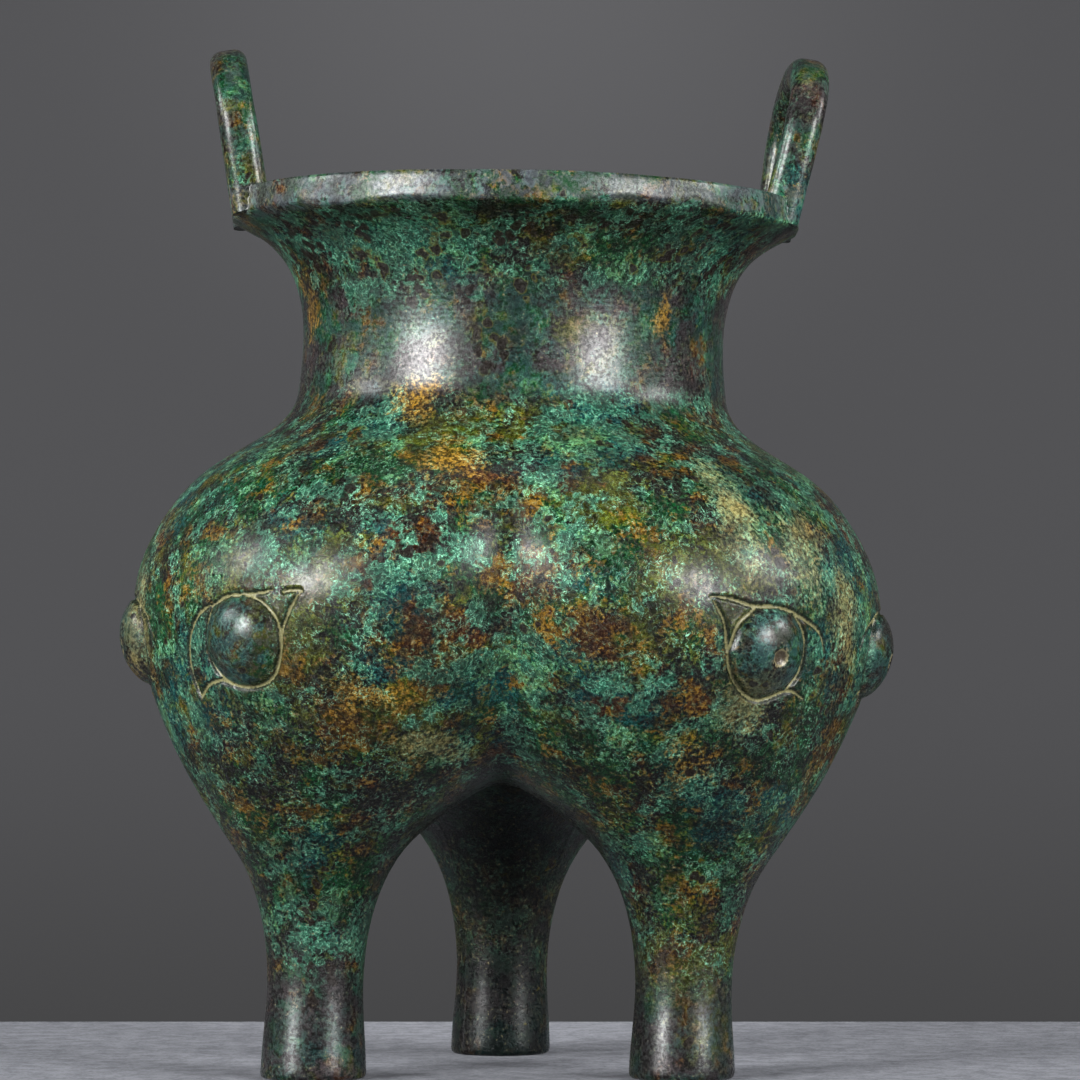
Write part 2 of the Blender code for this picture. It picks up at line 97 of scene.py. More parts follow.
def fair_curve(stations):
    """A smooth function through (level, value) stations, flat at both ends and beyond them."""
    x, y = np.array(stations, dtype=float).T
    gap = np.diff(x)
    slope = np.diff(y) / gap
    matrix = np.eye(len(x))
    right = np.zeros(len(x))
    for i in range(1, len(x) - 1):
        matrix[i, i - 1 : i + 2] = gap[i], 2.0 * (gap[i - 1] + gap[i]), gap[i - 1]
        right[i] = 3.0 * (gap[i] * slope[i - 1] + gap[i - 1] * slope[i])
    tangent = np.linalg.solve(matrix, right)

    def value(level):
        level = np.clip(level, x[0], x[-1])
        i = np.clip(np.searchsorted(x, level) - 1, 0, len(x) - 2)
        t = (level - x[i]) / gap[i]
        ends = y[i] * (1 + 2 * t) * (1 - t) ** 2 + y[i + 1] * t * t * (3 - 2 * t)
        return ends + gap[i] * t * (1 - t) * (tangent[i] * (1 - t) - tangent[i + 1] * t)

    return value


ARCH_SPREAD = 0.91 * LEG_SPREAD
pouch_centre = fair_curve([
    (0.76 * ARCH_LEVEL, LEG_SPREAD),
    (ARCH_LEVEL, ARCH_SPREAD),
    (between(ARCH_LEVEL, BELLY_LEVEL, 0.47), 0.868 * LEG_SPREAD),
    (BELLY_LEVEL, 0.82 * LEG_SPREAD),
    (between(BELLY_LEVEL, NECK_LEVEL, 0.37), 0.475 * LEG_SPREAD),
    (between(BELLY_LEVEL, NECK_LEVEL, 0.78), 0.0),
])
pouch_breadth = fair_curve([
    (0.8 * ARCH_LEVEL, 1.0),
    (between(ARCH_LEVEL, BELLY_LEVEL, 0.63), POUCH_BREADTH),
    (between(BELLY_LEVEL, NECK_LEVEL, 0.12), POUCH_BREADTH),
    (between(BELLY_LEVEL, NECK_LEVEL, 0.73), 1.0),
])
seam_blend = fair_curve([
    (ARCH_LEVEL, ARCH_BLEND),
    (between(ARCH_LEVEL, BELLY_LEVEL, 0.7), VALLEY_BLEND),
])
ARCH_RADIUS = ARCH_SPREAD * math.sin(HALF_SECTOR) - ARCH_BLEND * math.log(2.0)
pouch_radius = fair_curve([
    (0.0, FOOT_RADIUS),
    (ANKLE_LEVEL, ANKLE_RADIUS),
    (between(ANKLE_LEVEL, ARCH_LEVEL, 0.41), between(ANKLE_RADIUS, ARCH_RADIUS, 0.10)),
    (between(ANKLE_LEVEL, ARCH_LEVEL, 0.70), between(ANKLE_RADIUS, ARCH_RADIUS, 0.41)),
    (ARCH_LEVEL, ARCH_RADIUS),
    (between(ARCH_LEVEL, BELLY_LEVEL, 0.47), between(ARCH_RADIUS, BELLY_RADIUS, 0.67)),
    (BELLY_LEVEL, BELLY_RADIUS),
    (between(BELLY_LEVEL, SHOULDER_LEVEL, 0.67), between(BELLY_RADIUS, SHOULDER_RADIUS, 0.74)),
    (SHOULDER_LEVEL, SHOULDER_RADIUS),
    (between(SHOULDER_LEVEL, NECK_LEVEL, 0.24), between(NECK_RADIUS, SHOULDER_RADIUS, 0.49)),
    (between(SHOULDER_LEVEL, NECK_LEVEL, 0.48), between(NECK_RADIUS, SHOULDER_RADIUS, 0.22)),
    (NECK_LEVEL, NECK_RADIUS),
])


def field(points):
    """Below nought inside the outer form of the pouches and above nought outside it."""
    x, y, level = points[..., 0], points[..., 1], points[..., 2]
    centre = pouch_centre(level)
    gaps = []
    for i in range(3):
        turn = 2.0 * HALF_SECTOR * i
        along = x * math.cos(turn) + y * math.sin(turn) - centre
        across = (y * math.cos(turn) - x * math.sin(turn)) / pouch_breadth(level)
        gaps.append(np.hypot(along, across) - pouch_radius(level))
    least = np.minimum.reduce(gaps)
    blend = seam_blend(level) * centre / LEG_SPREAD + 1e-3 * MM
    return least - blend * np.log(sum(np.exp((least - gap) / blend) for gap in gaps))


def field_slope(points, step=0.01 * MM):
    return np.stack(
        [(field(points + side) - field(points - side)) / (2 * step) for side in step * np.eye(3)],
        axis=-1,
    )


def outward(points):
    slope = field_slope(points)
    return slope / np.linalg.norm(slope, axis=-1, keepdims=True)


def settled(points, steps=2):
    """Points near the outer form moved on to it."""
    for _ in range(steps):
        slope = field_slope(points)
        points = points - (field(points) / (slope**2).sum(axis=-1))[..., None] * slope
    return points


def cast(start, direction, steps=60, halvings=40):
    """Where rays that start inside the outer form first come out of it."""
    reach = 2.0 * RIM_RADIUS
    start, direction = np.broadcast_arrays(start, direction)
    low = np.zeros(start.shape[:-1])
    high = np.full(start.shape[:-1], reach)
    found = np.zeros(start.shape[:-1], bool)
    for i in range(1, steps + 1):
        at = reach * i / steps
        leaves = (field(start + at * direction) > 0) & ~found
        low = np.where(leaves, at - reach / steps, low)
        high = np.where(leaves, at, high)
        found |= leaves
    for _ in range(halvings):
        middle = (low + high) / 2
        inside = field(start + middle[..., None] * direction) < 0
        low = np.where(inside, middle, low)
        high = np.where(inside, high, middle)
    return start + low[..., None] * direction


def mirrored(points, angle):
    across = np.array([-math.sin(angle), math.cos(angle), 0.0])
    return points - 2.0 * (points @ across)[..., None] * across


def middle_point(level):
    return np.array([float(pouch_centre(level)), 0.0, level])


def first_row(level, end, columns):
    """A first guess at points from a pouch's outer middle line, at this level, to an end point."""
    start = middle_point(level)
    aim = end - start
    share = np.linspace(0.0, 1.0, columns + 1)
    turn = math.atan2(aim[1], aim[0]) * share
    rays = np.stack([np.cos(turn), np.sin(turn), aim[2] / math.hypot(*aim[:2]) * share], axis=-1)
    points = cast(start, rays / np.linalg.norm(rays, axis=-1, keepdims=True))
    points[-1] = end
    beyond = np.arctan2(points[:-1, 1], points[:-1, 0]) > HALF_SECTOR
    points[:-1] = np.where(beyond[:, None], mirrored(points[:-1], HALF_SECTOR), points[:-1])
    return points


def relaxed(grid, axis_row, rounds):
    """Even out a half pouch's grid on the outer form, its edges sliding in their own planes."""
    for _ in range(rounds):
        before = mirrored(grid[:, 1:2], 0.0)
        after = mirrored(grid[:, -2:-1], HALF_SECTOR)
        after[axis_row:] = mirrored(grid[axis_row:, -2:-1], 0.0)
        wide = np.concatenate([before, grid, after], axis=1)
        middle = (wide[1:-1, :-2] + wide[1:-1, 2:] + wide[:-2, 1:-1] + wide[2:, 1:-1]) / 4
        middle[axis_row - 1, -1] = grid[axis_row, -1]
        grid[1:-1] = settled(middle)
    return grid


def half_pouch(belly, under, leg, last_level, finer):
    """A grid over half a pouch, from the neck down to last_level on the leg.

    Its last column runs down the valley between two pouches, in under the arch to the vessel's
    axis, and down the inside of the leg. The grid is evened out while coarse, then made finer.
    The first three numbers are its rows over the belly, under it and along the leg.
    """
    rows = []
    hub = np.array([0.0, 0.0, between(ARCH_LEVEL, BELLY_LEVEL, 0.75)])
    for level in np.linspace(NECK_LEVEL, hub[2], belly + 1):
        rows.append(first_row(level, cast(np.array([0.0, 0.0, level]), VALLEY_LINE), COLUMNS))
    for i in range(1, under + 1):
        dip = math.pi / 2 * i / under
        aim = math.cos(dip) * VALLEY_LINE - math.sin(dip) * np.array([0.0, 0.0, 1.0])
        end = cast(hub, aim) if i < under else cast(hub, np.array([0.0, 0.0, -1.0]))
        rows.append(first_row(between(hub[2], ARCH_LEVEL, i / under), end, COLUMNS))
    axis_row = len(rows) - 1
    root = middle_point(ARCH_LEVEL)
    last_end = cast(middle_point(last_level), np.array([-1.0, 0.0, 0.0]))
    first_dip = math.atan2(root[2] - rows[-1][-1][2], root[0])
    last_dip = math.atan2(root[2] - last_level, root[0] - last_end[0])
    for i in range(1, leg + 1):
        dip = between(first_dip, last_dip, i / leg)
        end = cast(root, np.array([-math.cos(dip), 0.0, -math.sin(dip)]))
        if i == leg:
            end = last_end
        rows.append(first_row(between(root[2], last_level, i / leg), end, COLUMNS))
    grid = relaxed(np.array(rows), axis_row, ROUNDS_OF_EVENING)
    for axis in (0, 1):
        at = np.linspace(0, grid.shape[axis] - 1, (grid.shape[axis] - 1) * finer + 1)
        low = np.minimum(at.astype(int), grid.shape[axis] - 2)
        share = (at - low).reshape((-1, 1, 1) if axis == 0 else (1, -1, 1))
        grid = between(np.take(grid, low, axis), np.take(grid, low + 1, axis), share)
    grid[1:] = settled(grid[1:], 3)
    return relaxed(grid, axis_row * finer, LAST_ROUNDS)


def turned(profile, columns):
    """Rows over half a sector of a round stretch, from (radius, level) pairs."""
    angle = np.linspace(0.0, HALF_SECTOR, columns + 1)
    return [
        np.stack([r * np.cos(angle), r * np.sin(angle), np.full_like(angle, level)], axis=-1)
        for r, level in profile
    ]


def bezier(corners, count):
    """Evenly stepped points of a Bezier curve, its end first and its start left out."""
    t = np.linspace(1.0, 0.0, count, endpoint=False)[:, None]
    a, b, c, d = (np.array(corner) for corner in corners)
    return a * (1 - t) ** 3 + 3 * b * t * (1 - t) ** 2 + 3 * c * t * t * (1 - t) + d * t**3


def skin(bm, rows):
    """Faces between rows of points."""
    rows = [[bm.verts.new(Vector(point)) for point in row] for row in rows]
    for upper, lower in zip(rows, rows[1:]):
        for i in range(len(upper) - 1):
            bm.faces.new((upper[i], lower[i], lower[i + 1], upper[i + 1]))
    return rows


# The outside, from the rim's land over its band and down the flare, then the pouch and its foot.
outer_columns = COLUMNS * OUTER_FINER
band_foot = RIM_LEVEL - RIM_BAND
lip_radius = RIM_RADIUS - RIM_TAPER
outer_rows = turned([
    (lip_radius - EDGE_WEAR, RIM_LEVEL),
    (lip_radius - 0.3 * EDGE_WEAR, RIM_LEVEL - 0.2 * EDGE_WEAR),
    (lip_radius, RIM_LEVEL - EDGE_WEAR),
    *[(between(lip_radius, RIM_RADIUS, i / 5), RIM_LEVEL - i / 5 * RIM_BAND) for i in range(1, 5)],
    (RIM_RADIUS, band_foot + 0.6 * EDGE_WEAR),
    *bezier([
        (NECK_RADIUS, NECK_LEVEL),
        (NECK_RADIUS, between(NECK_LEVEL, band_foot, 0.72)),
        (between(NECK_RADIUS, RIM_RADIUS, 0.55), between(NECK_LEVEL, band_foot, 0.86)),
        (RIM_RADIUS - 0.3 * EDGE_WEAR, band_foot - 0.1 * EDGE_WEAR),
    ], 26),
], outer_columns)
body = half_pouch(11, 6, 8, 0.0, OUTER_FINER)
body[-1, :, 2] = 0.0
outer_rows += list(body[:-1])
foot_middle = middle_point(0.0)
for inset, lift in ((0.0, 2.0), (0.25, 0.7), (1.0, 0.0)):
    ring = foot_middle + (body[-1] - foot_middle) * (1.0 - inset * EDGE_WEAR / FOOT_RADIUS)
    outer_rows.append(ring + np.array([0.0, 0.0, lift * EDGE_WEAR]))

# The inside, a wall's thickness in, with a rounded floor in the top of each leg.
inner_columns = COLUMNS * INNER_FINER
mouth = lip_radius - RIM_LAND
throat = NECK_RADIUS - WALL
inner_rows = turned([(mouth + EDGE_WEAR, RIM_LEVEL), *bezier([
    (throat, NECK_LEVEL),
    (throat, between(NECK_LEVEL, RIM_LEVEL, 0.5)),
    (between(throat, mouth, 0.6), between(NECK_LEVEL, RIM_LEVEL, 0.65)),
    (mouth, RIM_LEVEL - EDGE_WEAR),
], 14)], inner_columns)
floor_edge = LEG_HOLLOW_LEVEL
for _ in range(30):
    floor_edge = LEG_HOLLOW_LEVEL + float(pouch_radius(floor_edge)) - WALL
lining = half_pouch(8, 5, 5, floor_edge, INNER_FINER)
inner_rows += [points - WALL * outward(points) for points in lining]
edge = inner_rows[-1]
floor_middle = middle_point(floor_edge)
floor_middle[2] = edge[:, 2].mean()
for turn in np.linspace(0.0, math.pi / 2, 6)[1:]:
    sink = np.array([0.0, 0.0, (floor_middle[2] - LEG_HOLLOW_LEVEL) * math.sin(turn)])
    inner_rows.append(floor_middle + (edge - floor_middle) * math.cos(turn) - sink)

# The two are joined over the rim's land, and the foot is closed.
shell = bmesh.new()
outer = skin(shell, outer_rows)
inner = skin(shell, inner_rows)
i = j = 0
while i < outer_columns or j < inner_columns:
    if (i + 1) / outer_columns <= (j + 1) / inner_columns:
        shell.faces.new((outer[0][i], outer[0][i + 1], inner[0][j]))
        i += 1
    else:
        shell.faces.new((outer[0][i], inner[0][j + 1], inner[0][j]))
        j += 1
sole = shell.verts.new((foot_middle[0], 0.0, 0.0))
for first, second in zip(outer[-1], outer[-1][1:]):
    shell.faces.new((second, first, sole))
bmesh.ops.remove_doubles(shell, verts=shell.verts, dist=WELD)

# The eyes
# Six low domes cast with the pouches, two on each, with a small pupil. Each has a ring and lids
# cut round it with a graver. One front eye was drawn another way, and its pupil is worn away.

EYE_ANGLE = math.radians(17.8)
EYE_LEVEL = 82.6 * MM
EYE_RADIUS = 8.4 * MM
EYE_RISE = 3.5 * MM
PUPIL = (-0.04, -0.05)
# How far a stroke strays from the drawing on the back pouch, in radii of the eye
SLIP = 0.018
# The strokes, from the middle of an eye towards the valley and upward, in radii of the eye: the
# upper lid, the lower lid, and the two sides of the ring. The one front eye has its own.
STROKES = (
    [(1.75, 1.24), (1.4, 1.22), (0.95, 1.13), (0.5, 1.02), (0.05, 1.04), (-0.45, 0.97),
     (-0.95, 0.8), (-1.4, 0.62), (-1.75, 0.32), (-1.88, 0.0)],
    [(1.66, 1.14), (1.44, 0.84), (1.24, 0.4), (1.12, -0.1), (0.92, -0.56), (0.55, -0.96),
     (0.05, -1.14), (-0.42, -1.03), (-0.75, -0.92), (-1.08, -0.95), (-1.43, -1.12)],
    [(0.52, 0.96), (0.82, 0.72), (1.02, 0.34), (1.12, -0.1)],
    [(-0.68, 0.86), (-0.98, 0.55), (-1.12, 0.12), (-1.11, -0.3), (-0.96, -0.66), (-0.72, -0.9)],
)
OWN_STROKES = (
    [(1.0, 1.19), (0.7, 1.12), (0.3, 1.08), (-0.15, 1.06), (-0.5, 0.98), (-0.86, 0.8)],
    [(-0.9, 0.82), (-1.3, 0.66), (-1.58, 0.38), (-1.78, 0.0), (-1.87, -0.42), (-1.84, -0.85),
     (-1.65, -1.37)],
    [(-1.65, -1.37), (-1.38, -1.12), (-1.03, -0.98), (-0.7, -0.94), (-0.42, -1.02)],
    [(-0.84, 0.78), (-1.02, 0.42), (-1.06, -0.1), (-0.98, -0.5), (-0.76, -0.82), (-0.4, -1.02),
     (0.06, -1.08), (0.5, -1.0), (0.82, -0.78), (1.02, -0.42), (1.1, 0.05), (1.04, 0.5),
     (0.76, 0.82), (0.42, 1.0), (0.1, 1.07)],
    [(1.22, 1.12), (1.5, 1.17), (1.8, 1.14)],
    [(1.7, 1.1), (1.5, 0.82), (1.3, 0.48), (1.15, 0.12), (1.05, -0.3), (0.84, -0.74)],
)


def smooth_path(corners, count):
    """Points along a smooth line through the corners given."""
    corners = np.array(corners)
    steps = np.hypot(*np.diff(corners, axis=0).T)
    at = np.concatenate([[0.0], np.cumsum(steps)]) / steps.sum()
    across, upward = (fair_curve(list(zip(at, corners[:, i]))) for i in range(2))
    return np.array([(float(across(t)), float(upward(t))) for t in np.linspace(0.0, 1.0, count)])


eye_aim = np.array([math.cos(EYE_ANGLE), math.sin(EYE_ANGLE), 0.0])
eye_middle = cast(np.array([0.0, 0.0, EYE_LEVEL]), eye_aim)
eye_normal = outward(eye_middle)
to_valley = np.cross([0.0, 0.0, 1.0], eye_normal)
to_valley /= np.linalg.norm(to_valley)
eye_up = np.cross(eye_normal, to_valley)


def laid(stroke):
    """A stroke laid on the pouch, with about ten points to each radius of the eye."""
    count = 8 + int(10 * np.hypot(*np.diff(np.array(stroke), axis=0).T).sum())
    path = smooth_path(stroke, count) * EYE_RADIUS
    return settled(eye_middle + path[:, :1] * to_valley + path[:, 1:] * eye_up, 6)


def guide(name, bm):
    """An object that only the casting's node tree reads."""
    mesh = bpy.data.meshes.new(name)
    bm.to_mesh(mesh)
    bm.free()
    obj = bpy.data.objects.new(name, mesh)
    bpy.context.scene.collection.objects.link(obj)
    return obj


hand = np.random.default_rng(5)
lines, middles, pupils = bmesh.new(), bmesh.new(), bmesh.new()
press = lines.verts.layers.float.new("press")
pupil_place = eye_middle + EYE_RADIUS * (PUPIL[0] * to_valley + PUPIL[1] * eye_up)
pupil_place += (EYE_RISE - 0.5 * MM) * eye_normal
for number in range(3):
    for side in (1.0, -1.0):
        spin = Matrix.Rotation(2.0 * HALF_SECTOR * number - math.pi / 6, 3, "Z")
        spin = spin @ Matrix.Diagonal((1.0, side, 1.0))
        own = (number, side) == (2, 1.0)
        middles.verts.new(spin @ Vector(eye_middle))
        if not own:
            pupils.verts.new(spin @ Vector(pupil_place))
        for stroke in OWN_STROKES if own else STROKES:
            slip = hand.normal(0.0, SLIP, 2) if number == 1 else np.zeros(2)
            row = [lines.verts.new(spin @ Vector(point)) for point in laid(np.array(stroke) + slip)]
            # The graver is pressed less at both ends of its stroke.
            for i, vertex in enumerate(row):
                share = i / (len(row) - 1)
                vertex[press] = min(1.0, 0.45 + 4.0 * min(share, 1.0 - share))
            for first, second in zip(row, row[1:]):
                lines.edges.new((first, second))
eye_lines = guide("eye_lines", lines)
eye_middles = guide("eye_middles", middles)
pupil_points = guide("pupils", pupils)

# The body's grid is made finer round the eye twice, then once more along the strokes: how far
# across the eye each round goes, in its radii, and how near to a stroke.
drawn = np.concatenate([laid(stroke) for stroke in STROKES + OWN_STROKES])
for reach, strip in ((2.35, 40.0 * MM), (2.15, 40.0 * MM), (2.15, 0.95 * MM)):
    faces = list(shell.faces)
    centres = np.array([face.calc_center_median() for face in faces])
    gap = (centres - eye_middle) / EYE_RADIUS
    chosen = (np.abs(gap @ to_valley) < reach) & (np.abs(gap @ eye_up) < 0.68 * reach)
    chosen &= (gap @ eye_normal > -1.2) & (np.abs(field(centres)) < WALL / 2)
    near = []
    for i in np.flatnonzero(chosen):
        if np.linalg.norm(drawn - centres[i], axis=1).min() < strip:
            near.append(faces[i])
    cut = list({edge for face in near for edge in face.edges})
    bmesh.ops.subdivide_edges(shell, edges=cut, cuts=1, use_grid_fill=True)
    verts = list(shell.verts)
    places = np.array([vertex.co for vertex in verts])
    fresh = np.linalg.norm(places - eye_middle, axis=1) < 3.2 * EYE_RADIUS
    fresh &= np.abs(field(places)) < WALL / 2
    for i, place in zip(np.flatnonzero(fresh), settled(places[fresh])):
        verts[i].co = place
bmesh.ops.recalc_face_normals(shell, faces=shell.faces)
half = guide("half_pouch", shell)

# The handles
# Two loops of rounded bronze bar, cast with the rim and rooted in its band. Each leans out as it
# was set by eye in the mould, so that no two of their measures quite agree.

HANDLE_SPAN = 30.0 * MM
HANDLE_DEPTH = 7.4 * MM
HANDLE_WIDTH = 7.0 * MM
HANDLE_ROUNDING = 2.6 * MM
HANDLE_ROOT = 0.9 * RIM_BAND


def handle_path(bm, side, height, setting, turn, lean, skew):
    """The middle line of a handle: up one leg, over the crown and down the other."""
    radius = HANDLE_SPAN / 2
    crown = height / math.cos(lean) - HANDLE_WIDTH / 2 - radius
    stations = [(-radius, rise) for rise in np.linspace(-HANDLE_ROOT, crown, 9)[:-1]]
    stations += [
        (-radius * math.cos(bend), crown + radius * math.sin(bend))
        for bend in np.linspace(0.0, math.pi, 25)
    ]
    stations += [(radius, rise) for rise in np.linspace(crown, -HANDLE_ROOT, 9)[1:]]
    foot = Vector((side * (RIM_RADIUS + setting - HANDLE_DEPTH / 2), 0.0, RIM_LEVEL))
    points = []
    for s, rise in stations:
        tilt = lean - skew * s / radius
        place = foot + Vector((side * rise * math.sin(tilt), s, rise * math.cos(tilt)))
        points.append(bm.verts.new(Matrix.Rotation(turn, 3, "Z") @ place))
    for first, second in zip(points, points[1:]):
        bm.edges.new((first, second))


both = bmesh.new()
for side, height, setting, turn, lean, skew in (
    (-1.0, 28.4 * MM, 0.7 * MM, 3.3, 9.8, 0.3),
    (1.0, 29.5 * MM, 0.1 * MM, 0.6, 9.9, 3.3),
):
    handle_path(both, side, height, setting, math.radians(turn), math.radians(lean), math.radians(skew))
handle_paths = guide("handle_paths", both)

# The casting put together
# The half pouch is repeated to the whole body, the eyes are raised and their lines sunk, the
# handles are joined to the rim, and the surface is left as uneven as hand work leaves it.

EYE_FULLNESS = 0.62
LINE_DEPTH = 0.6 * MM
LINE_WIDTH = 1.4 * MM
BURR = 0.08 * MM
PUPIL_DEPTH = 1.1 * MM
UNEVENNESS = 0.25 * MM
BAR_FACET = 0.7 * MM
ROOT_SWELL = 0.22
ROOT_REACH = 3.2 * MM
RIM_WAVE = 2.4 * MM
RIM_DIP = 1.1 * MM
DIP_ANGLE = math.radians(-63.0)


class Wire:
    """A socket of a node tree that does sums as a number does."""

    def __init__(self, nodes, socket):
        self.nodes, self.socket = nodes, socket

    def __add__(self, other):
        return self.nodes.maths("ADD", self, other)

    def __radd__(self, other):
        return self.nodes.maths("ADD", other, self)

    def __sub__(self, other):
        return self.nodes.maths("SUBTRACT", self, other)

    def __rsub__(self, other):
        return self.nodes.maths("SUBTRACT", other, self)

    def __mul__(self, other):
        return self.nodes.maths("MULTIPLY", self, other)

    def __rmul__(self, other):
        return self.nodes.maths("MULTIPLY", other, self)

    def __truediv__(self, other):
        return self.nodes.maths("DIVIDE", self, other)

    def __rtruediv__(self, other):
        return self.nodes.maths("DIVIDE", other, self)

    def __abs__(self):
        return self.nodes.maths("ABSOLUTE", self)


class Nodes:
    """A node tree drawn in code."""

    def __init__(self, tree):
        self.tree = tree

    def add(self, kind, settings, inputs, output=0):
        node = self.tree.nodes.new(kind)
        for name, value in settings.items():
            setattr(node, name, value)
        for name, value in inputs.items():
            for one in value if isinstance(value, list) else [value]:
                if isinstance(one, Wire):
                    self.tree.links.new(one.socket, node.inputs[name])
                else:
                    node.inputs[name].default_value = one
        return Wire(self, node.outputs[output])

    def maths(self, operation, *values):
        return self.add("ShaderNodeMath", {"operation": operation}, dict(enumerate(values)))

    def vector(self, operation, *values, output=0):
        settings = {"operation": operation}
        return self.add("ShaderNodeVectorMath", settings, dict(enumerate(values)), output)

    def scaled(self, vector, share):
        inputs = {"Vector": vector, "Scale": share}
        return self.add("ShaderNodeVectorMath", {"operation": "SCALE"}, inputs)

    def component(self, vector, axis):
        return self.add("ShaderNodeSeparateXYZ", {}, {"Vector": vector}, axis)

    def step(self, value, low, high):
        """Nought below low, one above high, and an eased rise between them."""
        inputs = {"Value": value, "From Min": low, "From Max": high}
        return self.add("ShaderNodeMapRange", {"interpolation_type": "SMOOTHSTEP"}, inputs)

    def window(self, value, rise, fall):
        """An eased rise from nought to one, then an eased fall."""
        return self.step(value, *rise) * (1.0 - self.step(value, *fall))

    def noise(self, place, size, detail=2.0, rough=0.5, output=0):
        """Cloudy noise whose largest blotches are about this size."""
        inputs = {"Vector": place, "Scale": 1.0 / size, "Detail": detail, "Roughness": rough}
        return self.add("ShaderNodeTexNoise", {}, inputs, output)


tree = bpy.data.node_groups.new("cast_vessel", "GeometryNodeTree")
for name, kind in (
    ("Half pouch", "NodeSocketGeometry"),
    ("Eye lines", "NodeSocketObject"),
    ("Eye middles", "NodeSocketObject"),
    ("Pupils", "NodeSocketObject"),
    ("Handle paths", "NodeSocketObject"),
    ("Line depth", "NodeSocketFloat"),
    ("Line width", "NodeSocketFloat"),
    ("Unevenness", "NodeSocketFloat"),
    ("Finish", "NodeSocketMaterial"),
):
    tree.interface.new_socket(name, in_out="INPUT", socket_type=kind)
tree.interface.new_socket("Vessel", in_out="OUTPUT", socket_type="NodeSocketGeometry")
gn = Nodes(tree)
given = tree.nodes.new("NodeGroupInput")


def inlet(name):
    return Wire(gn, given.outputs[name])


def position():
    return gn.add("GeometryNodeInputPosition", {}, {})


def moved(geometry, offset):
    return gn.add("GeometryNodeSetPosition", {}, {"Geometry": geometry, "Offset": offset})


def swollen(geometry, amount):
    """Moved along its own normals."""
    return moved(geometry, gn.scaled(gn.add("GeometryNodeInputNormal", {}, {}), amount))


def lifted(geometry, amount):
    return moved(geometry, gn.add("ShaderNodeCombineXYZ", {}, {"Z": amount}))


def all_round(geometry):
    """Six copies of half a pouch, every second one mirrored, at thirds of a turn."""
    mirror = {"Geometry": geometry, "Scale": (1.0, -1.0, 1.0)}
    other_half = gn.add("GeometryNodeTransform", {}, mirror)
    other_half = gn.add("GeometryNodeFlipFaces", {}, {"Mesh": other_half})
    pair = gn.add("GeometryNodeJoinGeometry", {}, {"Geometry": [geometry, other_half]})
    points = gn.add("GeometryNodeMeshLine", {}, {"Count": 3, "Offset": (0.0, 0.0, 0.0)})
    index = gn.add("GeometryNodeInputIndex", {}, {})
    turn = gn.add("ShaderNodeCombineXYZ", {}, {"Z": index * (2.0 * HALF_SECTOR) - math.pi / 6})
    inputs = {"Points": points, "Instance": pair, "Rotation": turn}
    copies = gn.add("GeometryNodeInstanceOnPoints", {}, inputs)
    return gn.add("GeometryNodeRealizeInstances", {}, {"Geometry": copies})


def kept(geometry, name, value):
    settings = {"data_type": "FLOAT", "domain": "POINT"}
    inputs = {"Geometry": geometry, "Name": name, "Value": value}
    return gn.add("GeometryNodeStoreNamedAttribute", settings, inputs)


def shape_of(name):
    return gn.add("GeometryNodeObjectInfo", {}, {"Object": inlet(name)}, "Geometry")


def gap_to(target, kind, place):
    inputs = {0: target, "Source Position": place}
    return gn.add("GeometryNodeProximity", {"target_element": kind}, inputs, "Distance")


# The eye of the half pouch is raised before it is repeated, on the outer wall and not on the
# lining behind it.
offset = gn.vector("SUBTRACT", position(), tuple(eye_middle))
across = gn.vector("DOT_PRODUCT", offset, tuple(to_valley), output="Value")
upward = gn.vector("DOT_PRODUCT", offset, tuple(eye_up), output="Value")
depth = gn.vector("DOT_PRODUCT", offset, tuple(eye_normal), output="Value")
reach = gn.maths("SQRT", across * across + upward * upward) / EYE_RADIUS
on_outside = gn.step(depth, -2.6 * MM, -1.9 * MM)
dome = gn.maths("POWER", gn.maths("MAXIMUM", 1.0 - reach * reach, 0.0), EYE_FULLNESS)
raised = gn.scaled(tuple(eye_normal), EYE_RISE * dome * on_outside)
whole = all_round(moved(inlet("Half pouch"), raised))
inputs = {"Geometry": whole, "Distance": 2.0 * WELD}
whole = gn.add("GeometryNodeMergeByDistance", {}, inputs)

# The handles are swept along their paths, thicker where they are set in the rim.
paths = gn.add("GeometryNodeMeshToCurve", {}, {"Mesh": shape_of("Handle paths")})
inputs = {"Curve": paths, "Length": BAR_FACET}
paths = gn.add("GeometryNodeResampleCurve", {"mode": "LENGTH"}, inputs)
place = position()
from_rim = abs(gn.component(place, "Z") - (RIM_LEVEL + 0.3 * MM))
at_root = 1.0 - gn.step(from_rim, 0.0, ROOT_REACH)
thickness = 1.0 + ROOT_SWELL * at_root + 0.14 * (gn.noise(place, 14.0 * MM) - 0.5)
paths = gn.add("GeometryNodeSetCurveRadius", {}, {"Curve": paths, "Radius": thickness})
size = {"Width": HANDLE_WIDTH, "Height": HANDLE_DEPTH}
section = gn.add("GeometryNodeCurvePrimitiveQuadrilateral", {}, size)
inputs = {"Curve": section, "Count": 7, "Radius": HANDLE_ROUNDING}
section = gn.add("GeometryNodeFilletCurve", {"mode": "POLY"}, inputs)
inputs = {"Curve": section, "Length": BAR_FACET}
section = gn.add("GeometryNodeResampleCurve", {"mode": "LENGTH"}, inputs)
inputs = {"Curve": paths, "Profile Curve": section, "Fill Caps": True}
bars = gn.add("GeometryNodeCurveToMesh", {}, inputs)
bars = swollen(bars, inlet("Unevenness") * 1.2 * (gn.noise(position(), 8.0 * MM) - 0.5))
joining = {"operation": "UNION", "solver": "EXACT"}
whole = gn.add("GeometryNodeMeshBoolean", joining, {"Mesh 2": [whole, bars]})

